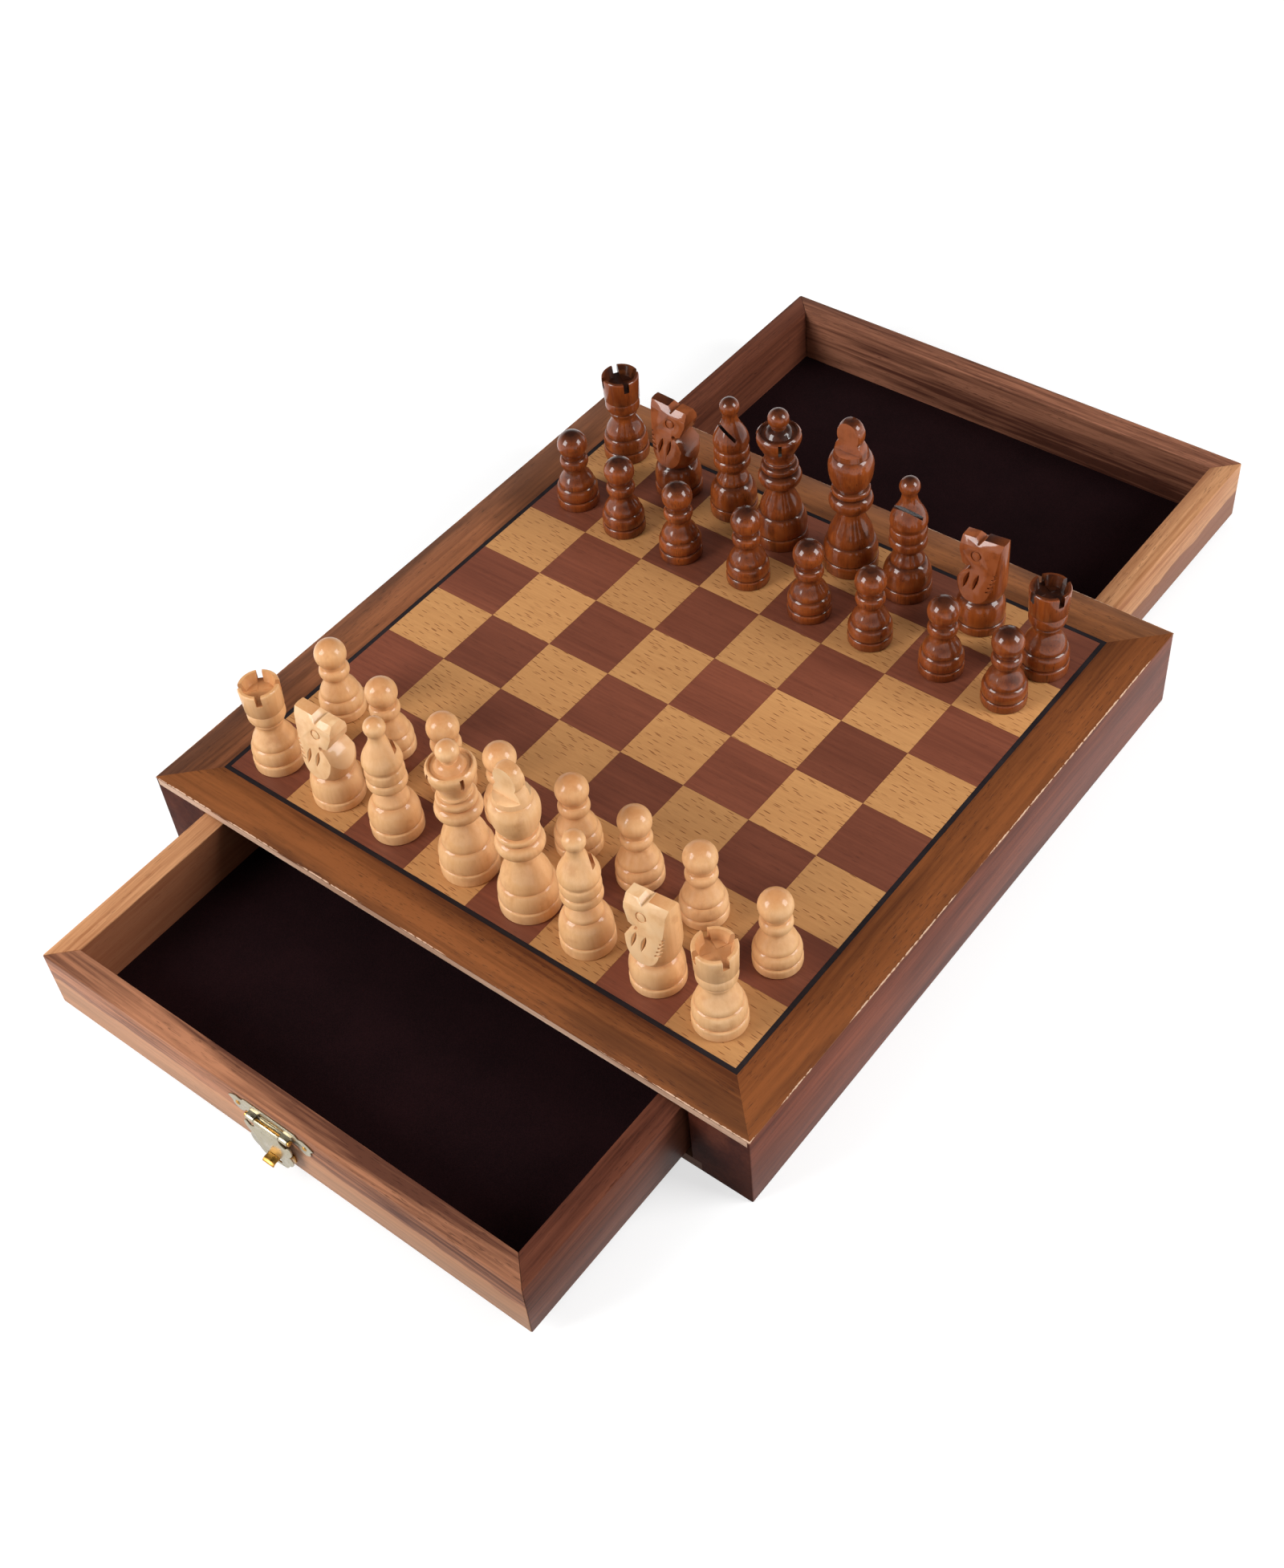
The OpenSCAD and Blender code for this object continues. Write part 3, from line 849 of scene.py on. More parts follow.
class Finish:
    """What every finish shares: a material with a Principled shader, made once."""

    _made: dict[str, bpy.types.Material] = {}

    def material(self) -> bpy.types.Material:
        """Gives the finish's material, building it the first time.

        Returns:
            The material.
        """
        name = self.name
        if name not in Finish._made:
            made = bpy.data.materials.new(name)
            made.use_nodes = True
            shader = made.node_tree.nodes["Principled BSDF"]
            wire = Wiring(made.node_tree)
            self.build(wire, shader)
            Finish._made[name] = made
        return Finish._made[name]

    def build(self, wire: Wiring, shader: bpy.types.Node) -> None:
        """Wires the material."""
        raise NotImplementedError

    @staticmethod
    def place(wire: Wiring) -> Socket:
        """The piece's own coordinates."""
        return wire.add("ShaderNodeTexCoord").outputs["Object"]

    @staticmethod
    def group(wire: Wiring, build: Callable[[], Effect], **values: object) -> bpy.types.Node:
        """Places an effect in a material with its values, whose underscores stand for spaces.

        Args:
            wire: the material's wiring.
            build: makes the effect.
            **values: what its inputs get.

        Returns:
            The group's node.
        """
        node = wire.add("ShaderNodeGroup", node_tree=Effect.get(build.__name__, build))
        for title, value in values.items():
            wire.feed(node.inputs[title.replace("_", " ")], value)
        return node

    @staticmethod
    def emboss(wire: Wiring, shader: bpy.types.Node, height: Socket, depth: float) -> None:
        """Feeds a height to the shader's normal.

        Args:
            wire: the material's wiring.
            shader: the material's shader.
            height: how high the surface is, from 0 to 1.
            depth: how much of a length a height of 1 is.
        """
        node = wire.add("ShaderNodeBump")
        node.inputs["Strength"].default_value = 1.0
        node.inputs["Distance"].default_value = depth
        wire.feed(node.inputs["Height"], height)
        wire.feed(shader.inputs["Normal"], node.outputs[0])

    def dress(self, piece: bpy.types.Object, slot: str | None = None) -> None:
        """Puts the finish on a piece.

        Args:
            piece: the piece.
            slot: not used.
        """
        piece.data.materials.clear()
        piece.data.materials.append(self.material())


@dataclass(frozen=True)
class Rub:
    """Where a case is rubbed pale: along the outer and upper edges of a box about the origin."""

    half_x: float
    half_y: float
    top: float
    reach: float
    colour: Colour = srgb(214, 178, 150)


@dataclass(frozen=True)
class Heart:
    """Wood of another tone below some height of a board."""

    height: float
    swing: float
    share: float
    tone: Colour


@dataclass(frozen=True)
class Wood(Finish):
    """A plain piece of wood."""

    name: str
    pale: Colour
    deep: Colour
    pore: Colour
    grain: Grain = Grain.X
    bands: float = 60.0
    bend: float = 12 * MM
    streaks: float = 900.0
    streak_share: float = 0.35
    contrast: float = 1.0
    pore_share: float = 0.5
    roughness: float = 0.42
    relief: float = 0.05 * MM
    gloss: float = 0.12
    shift: tuple[float, float, float] = (0.0, 0.0, 0.0)
    rubbed: Rub | None = None
    heart: Heart | None = None
    end_grain_and_shade: float = 0.0
    clouds: float = 0.0

    def along(self, wire: Wiring) -> Socket:
        """Coordinates with the grain turned to X.

        Args:
            wire: the material's wiring.

        Returns:
            The coordinates.
        """
        x, y, z = wire.parts(self.place(wire))
        order = {Grain.X: (x, y, z), Grain.Y: (y, x, z), Grain.Z: (z, x, y)}[self.grain]
        return wire.stretch(wire.vector(*order), (1, 1, 1), self.shift)

    def figured(self, wire: Wiring, where: Socket) -> bpy.types.Node:
        """The wood's figure at some coordinates.

        Args:
            wire: the material's wiring.
            where: the coordinates, with the grain along X.

        Returns:
            The figure's node.
        """
        return self.group(
            wire, wood_figure, Vector=where, Pale=self.pale, Deep=self.deep, Pore=self.pore, Bands=self.bands,
            Bend=self.bend, Streaks=self.streaks, Streak_share=self.streak_share, Contrast=self.contrast,
            Pore_share=self.pore_share,
        )

    def clouded(self, wire: Wiring, colour: Socket) -> Socket:
        """Darkens a colour in long soft clouds along the grain."""
        cloud = wire.noise(wire.stretch(self.along(wire), (-9, 60, 60)), 1.0, 4, 0.6)
        return wire.blend(wire.spread(cloud, 0.42, 0.66, 0, self.clouds), colour, self.pore)

    def hearted(self, wire: Wiring, colour: Socket) -> Socket:
        """Gives the lower part of a board its other tone, with a wavy border.

        Args:
            wire: the material's wiring.
            colour: the wood's colour.

        Returns:
            The new colour.
        """
        heart = self.heart
        wave = wire.spread(wire.noise(self.along(wire), 60.0, 2), 0.3, 0.7, -heart.swing, heart.swing)
        level = wire.plus(wire.parts(self.place(wire))[2], wave)
        soft = heart.swing / 2
        below = wire.spread(level, heart.height - soft, heart.height + soft, heart.share, 0)
        return wire.blend(below, colour, heart.tone)

    def sawn_across_and_shaded(self, wire: Wiring, shader: bpy.types.Node, colour: Socket) -> Socket:
        """Makes the end grain darker and duller. The darkening is partly painted shade, which stands in for
        the drawer's shadow on the case's front.

        Args:
            wire: the material's wiring.
            shader: the material's shader.
            colour: the wood's colour.

        Returns:
            The new colour.
        """
        axis = 0 if self.grain is Grain.X else 1
        facing = wire.parts(wire.add("ShaderNodeTexCoord").outputs["Normal"])[axis]
        # Darker end grain and painted shade: faces across the grain blend toward the pore colour.
        sawn = wire.spread(wire.maths("ABSOLUTE", facing), 0.8, 0.95, 0, self.end_grain_and_shade)
        dull = wire.spread(sawn, 0, self.end_grain_and_shade, self.gloss, 0.02)
        wire.feed(shader.inputs["Specular IOR Level"], dull)
        return wire.blend(sawn, colour, self.pore)

    def worn(self, wire: Wiring, colour: Socket) -> Socket:
        """Rubs a colour pale along the case's edges.

        Args:
            wire: the material's wiring.
            colour: the wood's colour.

        Returns:
            The new colour.
        """
        rub = self.rubbed
        mask = self.group(
            wire, rubbed_edge, Vector=self.place(wire), Half_x=rub.half_x, Half_y=rub.half_y, Reach=rub.reach,
            Top=rub.top,
        ).outputs["Mask"]
        return wire.blend(mask, colour, rub.colour)

    def build(self, wire: Wiring, shader: bpy.types.Node) -> None:
        """Wires the wood's figure and what lies over it.

        Args:
            wire: the material's wiring.
            shader: the material's shader.
        """
        figure = self.figured(wire, self.along(wire))
        colour = figure.outputs["Color"]
        shader.inputs["Specular IOR Level"].default_value = self.gloss
        if self.clouds:
            colour = self.clouded(wire, colour)
        if self.heart:
            colour = self.hearted(wire, colour)
        if self.end_grain_and_shade:
            colour = self.sawn_across_and_shaded(wire, shader, colour)
        if self.rubbed:
            colour = self.worn(wire, colour)
        wire.feed(shader.inputs["Base Color"], colour)
        shader.inputs["Roughness"].default_value = self.roughness
        self.emboss(wire, shader, figure.outputs["Height"], self.relief)


@dataclass(frozen=True)
class SquareVeneer(Wood):
    """The veneer of the squares: every square is its own leaf, and beech has flecks."""

    side: float = 32 * MM
    fleck_share: float = 0.0
    fleck: Colour = srgb(118, 58, 20)
    tone_swing: float = 0.12

    def build(self, wire: Wiring, shader: bpy.types.Node) -> None:
        """Wires one leaf of veneer for each square.

        Args:
            wire: the material's wiring.
            shader: the material's shader.
        """
        leaf = self.group(wire, veneer_square, Vector=self.place(wire), Side=self.side)
        figure = self.figured(wire, leaf.outputs["Vector"])
        colour = figure.outputs["Color"]
        flecks = self.group(wire, ray_flecks, Vector=leaf.outputs["Vector"])
        share = wire.maths("MULTIPLY", flecks.outputs["Mask"], self.fleck_share)
        colour = wire.blend(share, colour, self.fleck)
        level = wire.spread(leaf.outputs["Tone"], 0, 1, 1 - self.tone_swing, 1 + self.tone_swing / 2)
        tinted = wire.add("ShaderNodeVectorMath", operation="SCALE")
        wire.feed(tinted.inputs[0], colour)
        wire.feed(tinted.inputs["Scale"], level)
        wire.feed(shader.inputs["Base Color"], tinted.outputs[0])
        shader.inputs["Roughness"].default_value = self.roughness
        height = wire.maths("SUBTRACT", figure.outputs["Height"], share)
        self.emboss(wire, shader, height, self.relief)


@dataclass(frozen=True)
class TurnedWood(Wood):
    """The lacquered wood of the men: their grooves and cut faces are darkened by staining and painted shade,
    and their upward faces by painted shade.
    """

    # The groove colour darkens grooves and cut faces with staining and painted shade, upward faces with
    # painted shade, and random patches with a darker tone; groove_share sets how much.
    groove: Colour = srgb(70, 35, 20)
    crest: Colour = srgb(150, 80, 35)
    groove_share: float = 0.8
    sawn: Colour = srgb(170, 90, 40)
    coat: float = 0.5

    def build(self, wire: Wiring, shader: bpy.types.Node) -> None:
        """Wires the figure, the grooves darkened by staining and painted shade, the painted shade on upward
        faces, and the lacquer.

        Args:
            wire: the material's wiring.
            shader: the material's shader.
        """
        figure = self.figured(wire, self.along(wire))
        stain_and_shade = wire.add("ShaderNodeAttribute", attribute_name=TurnedMan.STAIN_AND_SHADE, attribute_type="GEOMETRY")
        cloud = wire.noise(self.place(wire), 140.0, 3)
        uneven = wire.times(stain_and_shade.outputs["Fac"], wire.spread(cloud, 0.25, 0.75, 0.6, 1.15))
        # Darker staining and painted shade in the grooves and rough cuts, from the mark made when the man was
        # turned.
        stained_and_shaded = wire.maths("MULTIPLY", uneven, self.groove_share, clamp=True)
        colour = wire.blend(stained_and_shaded, figure.outputs["Color"], self.groove)
        colour = wire.blend(wire.spread(cloud, 0.55, 0.85, 0, 0.35), colour, self.crest)
        # Painted shade: faces that look up are darkened toward the groove colour.
        upward = wire.parts(wire.add("ShaderNodeTexCoord").outputs["Normal"])[2]
        colour = wire.blend(wire.spread(upward, 0.35, 0.95, 0, self.groove_share * 0.55), colour, self.groove)
        colour = wire.blend(wire.spread(cloud, 0.28, 0.46, self.groove_share * 0.5, 0), colour, self.groove)
        sawn = wire.add("ShaderNodeAttribute", attribute_name=TurnedMan.SAWN, attribute_type="GEOMETRY")
        fresh = wire.maths("MULTIPLY", sawn.outputs["Fac"], wire.spread(cloud, 0.35, 0.6, 0.35, 0.9))
        colour = wire.blend(fresh, colour, self.sawn)
        wire.feed(shader.inputs["Base Color"], colour)
        shader.inputs["Roughness"].default_value = self.roughness
        shader.inputs["Coat Weight"].default_value = self.coat
        shader.inputs["Coat Roughness"].default_value = 0.1
        shader.inputs["Specular IOR Level"].default_value = self.gloss
        lumps = wire.maths("ADD", figure.outputs["Height"], wire.maths("MULTIPLY", cloud, 2.0))
        self.emboss(wire, shader, lumps, self.relief)


@dataclass(frozen=True)
class Felt(Finish):
    """Short dark pile, a little uneven."""

    name: str
    pale: Colour
    deep: Colour

    def build(self, wire: Wiring, shader: bpy.types.Node) -> None:
        """Wires the pile.

        Args:
            wire: the material's wiring.
            shader: the material's shader.
        """
        place = self.place(wire)
        fibre = wire.noise(place, 2600.0, 3, 0.7)
        nap = wire.noise(place, 38.0, 3, 0.6)
        shade = wire.spread(wire.plus(wire.times(fibre, 0.75), wire.times(nap, 0.25)), 0.34, 0.66)
        wire.feed(shader.inputs["Base Color"], wire.blend(shade, self.deep, self.pale))
        shader.inputs["Roughness"].default_value = 0.95
        shader.inputs["Specular IOR Level"].default_value = 0.06
        shader.inputs["Sheen Weight"].default_value = 0.06
        shader.inputs["Sheen Roughness"].default_value = 0.5
        shader.inputs["Sheen Tint"].default_value = srgb(120, 90, 90)
        self.emboss(wire, shader, fibre, 0.25 * MM)


@dataclass(frozen=True)
class Metal(Finish):
    """Thin bright sheet or wire."""

    name: str
    bright: Colour
    tarnish: Colour

    def build(self, wire: Wiring, shader: bpy.types.Node) -> None:
        """Wires the plating.

        Args:
            wire: the material's wiring.
            shader: the material's shader.
        """
        patina = self.group(
            wire, metal_patina, Vector=self.place(wire), Bright=self.bright, Tarnish=self.tarnish,
        )
        shader.inputs["Metallic"].default_value = 1.0
        wire.feed(shader.inputs["Base Color"], patina.outputs["Color"])
        wire.feed(shader.inputs["Roughness"], patina.outputs["Roughness"])
        self.emboss(wire, shader, patina.outputs["Height"], 0.012 * MM)


BEECH = SquareVeneer(
    "beech_squares", srgb(200, 146, 91), srgb(184, 130, 78), srgb(150, 96, 50), bands=34, streaks=900,
    streak_share=0.6, contrast=0.8, pore_share=0.3, roughness=0.42, fleck_share=0.85, relief=0.02 * MM,
)
MAHOGANY = SquareVeneer(
    "mahogany_squares", srgb(134, 74, 52), srgb(106, 55, 38), srgb(70, 32, 22), bands=40, streaks=760,
    streak_share=0.55, contrast=0.8, pore_share=0.4, roughness=0.42, relief=0.02 * MM, tone_swing=0.16,
)
INLAY = Wood(
    "black_stringing", srgb(44, 38, 40), srgb(30, 26, 29), srgb(18, 16, 18), pore_share=0.3, roughness=0.38,
    relief=0.02 * MM,
)
RAW_EDGE = Wood(
    "raw_panel_edge", srgb(208, 174, 150), srgb(172, 134, 110), srgb(128, 90, 70), bands=90, pore_share=0.5,
    roughness=0.6,
)
INSIDE = Wood(
    "case_inside", srgb(132, 92, 72), srgb(100, 66, 50), srgb(60, 38, 30), bands=50, roughness=0.55,
)
DRAWER_WOOD = Wood(
    "drawer_wood", srgb(112, 64, 46), srgb(68, 34, 24), srgb(46, 22, 15), bands=75, bend=14 * MM, streaks=560,
    streak_share=0.45, contrast=1.2, pore_share=0.55, roughness=0.44,
)
PLY = Wood("drawer_bottom_ply", srgb(170, 124, 92), srgb(140, 98, 70), srgb(88, 58, 42), roughness=0.6)
FELT = Felt("drawer_felt", srgb(34, 15, 17), srgb(18, 7, 9))
NICKEL = Metal("nickelled_sheet", srgb(178, 170, 148), srgb(96, 84, 60))
BRASS = Metal("bright_brass", srgb(180, 134, 66), srgb(80, 52, 26))


# ------------------------------------------------------------------------------------------------ the box


@dataclass
class Box:
    """The case and its board."""

    square: float = 32 * MM
    inlay_w: float = 2.08 * MM
    strip_ease: float = 0.35 * MM
    strip_rub: float = 0.54 * MM
    wall_ease: float = 0.5 * MM
    wall_rub: float = 0.5 * MM

    def border(self) -> None:
        """Four mitred strips of walnut, each with its grain along its length."""
        low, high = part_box("border_veneer")
        half, bottom, top = high.x, low.z, high.z
        inner = 4 * self.square + self.inlay_w
        strips = (
            ("front", srgb(142, 85, 46), srgb(84, 45, 25), 1.3),
            ("right", srgb(134, 77, 40), srgb(78, 41, 24), 1.2),
            ("rear", srgb(150, 94, 56), srgb(98, 56, 34), 1.1),
            ("left", srgb(160, 101, 67), srgb(104, 62, 41), 1.2),
        )
        for index, (side, pale, deep, contrast) in enumerate(strips):
            strip = Bench.block(f"border_strip_{side}", (-half, -half, bottom), (half, -inner, top))
            Bench.shift(strip, lambda v: v.co.y > -inner - MM and v.co.x > 0, (inner - half, 0, 0))
            Bench.shift(strip, lambda v: v.co.y > -inner - MM and v.co.x < 0, (half - inner, 0, 0))
            Bench.ease(
                strip, self.strip_ease,
                lambda e: all(v.co.y < -half + MM and v.co.z > top - NEAR for v in e.verts),
            )
            strip.data.transform(Matrix.Rotation(index * math.pi / 2, 4, "Z"))
            Wood(
                f"walnut_border_{side}", pale, deep, srgb(60, 34, 22),
                grain=Grain.X if index % 2 == 0 else Grain.Y, bands=30, bend=34 * MM, streaks=620,
                streak_share=0.34, contrast=contrast, pore_share=0.7, roughness=0.4, relief=0.04 * MM,
                shift=(0.37 * index, 0.21 * index, 0.0), rubbed=Rub(half, half, top, self.strip_rub),
                clouds=0.6,
            ).dress(strip, "walnut_veneer")
            Bench.smooth(strip)
            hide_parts("border_veneer")
            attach(strip, "case")
            LOG.info("made %s", strip.name)

    def walls(self) -> None:
        """The two side walls, with eased edges and a figure of their own."""
        low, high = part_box("side_walls")
        panel_low, panel_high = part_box("top_panel")
        floor_low, floor_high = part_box("bottom_panel")
        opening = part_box("centre_divider")[1].x
        for name, sign in (("right", 1), ("left", -1)):
            near, far = sorted((sign * opening, sign * high.x))
            wall = Bench.block(f"side_wall_{name}", (near, low.y, low.z), (far, high.y, high.z))
            rebates = (
                (
                    (opening - MM, panel_low.y - MM, panel_low.z),
                    (panel_high.x, panel_high.y + MM, high.z + MM),
                ),
                (
                    (opening - MM, floor_low.y - MM, -MM),
                    (floor_high.x, floor_high.y + MM, floor_high.z),
                ),
            )
            for rebate_low, rebate_high in rebates:
                x0, x1 = sorted((sign * rebate_low[0], sign * rebate_high[0]))
                Bench.combine(wall, Bench.block("rebate", (x0, *rebate_low[1:]), (x1, *rebate_high[1:])))
            Bench.ease(
                wall, self.wall_ease,
                lambda e: all(abs(v.co.x) > high.x - NEAR for v in e.verts)
                and not all(v.co.z > high.z - NEAR for v in e.verts),
            )
            # The walls' front and back faces are darkened, partly as end grain and partly as painted shade
            # for the drawer's shadow on the case's front.
            Wood(
                f"case_wall_{name}", srgb(138, 76, 54), srgb(80, 38, 29), srgb(50, 20, 15), grain=Grain.Y,
                bands=60, bend=20 * MM, streaks=520, streak_share=0.32, contrast=1.2, pore_share=0.5,
                clouds=0.5, roughness=0.44, shift=(0, 0, 0.11 * sign), end_grain_and_shade=0.7,
                rubbed=Rub(high.x, high.y, high.z, self.wall_rub, srgb(190, 142, 114)),
            ).dress(wall, "case_wood")
            Bench.smooth(wall)
            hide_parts("side_walls")
            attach(wall, "case")
            LOG.info("made %s", wall.name)

    def dress_nodes(self, nodes: dict[str, bpy.types.Object]) -> None:
        """Finishes the flat pieces whose CAD shape is right as it is.

        Args:
            nodes: the frame's objects by their nodes' names.
        """
        BEECH.dress(nodes["light_squares"])
        MAHOGANY.dress(nodes["dark_squares"])
        INLAY.dress(nodes["stringing"])
        RAW_EDGE.dress(nodes["top_panel"])
        INSIDE.dress(nodes["bottom_panel"])
        INSIDE.dress(nodes["centre_divider"])
        LOG.info("dressed the board and the hidden panels")

    def build(self, nodes: dict[str, bpy.types.Object]) -> None:
        """Makes the whole case.

        Args:
            nodes: the frame's objects by their nodes' names.
        """
        self.border()
        self.walls()
        self.dress_nodes(nodes)


@dataclass
class Drawer:
    """One drawer: four mitred walls, a thin bottom and a felt."""

    end: End
    ease: float = 0.45 * MM
    wall: float = field(init=False)

    def __post_init__(self) -> None:
        """Reads the wall's thickness from the drawer's own nodes."""
        low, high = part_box(f"{self.name}_front")
        self.wall = high.y - low.y

    @property
    def name(self) -> str:
        """The drawer's body, and the start of its nodes' names."""
        return f"{self.end.value}_drawer"

    def mitred(self, name: str, low: Vector, high: Vector, inner: Sequence[float]) -> bpy.types.Object:
        """One wall with mitred ends.

        Args:
            name: the wall's name.
            low: its lowest corner.
            high: its highest corner.
            inner: the way from the wall towards the drawer's inside.

        Returns:
            The wall, with its outer and inner long edges eased.
        """
        piece = Bench.block(name, low, high)
        inward = Vector(inner)
        middle = (low + high) / 2
        long_axis = 1 if abs(inward.x) > 0.5 else 0
        for sign in (-1, 1):
            step = [0.0, 0.0, 0.0]
            step[long_axis] = -sign * self.wall
            Bench.shift(
                piece,
                lambda v: (v.co - middle).dot(inward) > 0 and sign * (v.co - middle)[long_axis] > 0,
                step,
            )
        reach = (high - low)[long_axis] / 2 - self.wall
        Bench.ease(
            piece, self.ease,
            lambda e: abs((e.verts[0].co - e.verts[1].co)[long_axis]) > reach,
        )
        return piece

    def bottom_cut(self, piece: bpy.types.Object) -> None:
        """Lets the bottom into a wall.

        Args:
            piece: the wall.
        """
        low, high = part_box(f"{self.name}_bottom")
        Bench.combine(piece, Bench.block("let_in", low - Vector((0, 0, MM)), high))

    def woods(self, top: float) -> dict[str, Wood]:
        """The wood of each wall: a streaked face, a dark back, and sides of sapwood or of brown wood.

        Args:
            top: the height of the walls' upper edges.

        Returns:
            The woods by the walls' names.
        """
        brown_heart = srgb(118, 66, 46)
        sapwood = replace(
            DRAWER_WOOD, pale=srgb(212, 157, 112), deep=srgb(160, 104, 67), pore=srgb(98, 58, 38),
        )
        dark = replace(
            DRAWER_WOOD, pale=srgb(94, 51, 36), deep=srgb(58, 27, 19), pore=srgb(40, 18, 12), contrast=1.0,
        )
        if self.end is End.FRONT:
            face = replace(
                DRAWER_WOOD, pale=srgb(178, 121, 89), deep=srgb(94, 57, 43), pore=srgb(58, 32, 25),
                contrast=1.5, heart=Heart(top - 13 * MM, 1.0 * MM, 0.45, srgb(216, 160, 116)),
            )
            left = replace(sapwood, heart=Heart(top - 0.5 * MM, 0.2 * MM, 0.8, brown_heart))
            right = DRAWER_WOOD
        else:
            face = replace(
                DRAWER_WOOD, pale=srgb(154, 102, 78), deep=srgb(80, 45, 34), pore=srgb(50, 26, 20),
                contrast=1.5,
            )
            left = DRAWER_WOOD
            right = replace(sapwood, heart=Heart(top - 16 * MM, 1.2 * MM, 0.8, brown_heart))
        return {"front": face, "back": dark, "left": left, "right": right}

    def walls(self) -> None:
        """The four walls, each with a grain and a tone of its own."""
        low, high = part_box(f"{self.name}_sides")
        out = -1 if self.end is End.FRONT else 1
        near = (low, Vector((high.x, low.y + self.wall, high.z)))
        far = (Vector((low.x, high.y - self.wall, low.z)), high)
        face, back = (near, far) if self.end is End.FRONT else (far, near)
        left = (low, Vector((low.x + self.wall, high.y, high.z)))
        right = (Vector((high.x - self.wall, low.y, low.z)), high)
        plan = (
            ("front", face, (0, -out, 0), Grain.X, "front", "drawer_face_wood"),
            ("back", back, (0, out, 0), Grain.X, "back", "drawer_wood"),
            ("left", left, (1, 0, 0), Grain.Y, "sides", "drawer_wood"),
            ("right", right, (-1, 0, 0), Grain.Y, "sides", "drawer_wood"),
        )
        woods = self.woods(high.z)
        for number, (part, corners, inner, grain, node, slot) in enumerate(plan):
            wall = self.mitred(f"{self.name}_wall_{part}", *corners, inner)
            self.bottom_cut(wall)
            wood = replace(
                woods[part], name=f"{self.name}_{part}_wood", grain=grain,
                shift=(0.13 * number, 0.29 * number, 0.07 * out),
            )
            wood.dress(wall, slot)
            Bench.smooth(wall)
            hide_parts(f"{self.name}_{node}")
            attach(wall, self.name)
            LOG.info("made %s", wall.name)

    def build(self, nodes: dict[str, bpy.types.Object]) -> None:
        """Makes the drawer's walls and finishes its bottom and felt.

        Args:
            nodes: the frame's objects by their nodes' names.
        """
        self.walls()
        PLY.dress(nodes[f"{self.name}_bottom"])
        FELT.dress(nodes[f"{self.name}_felt"])


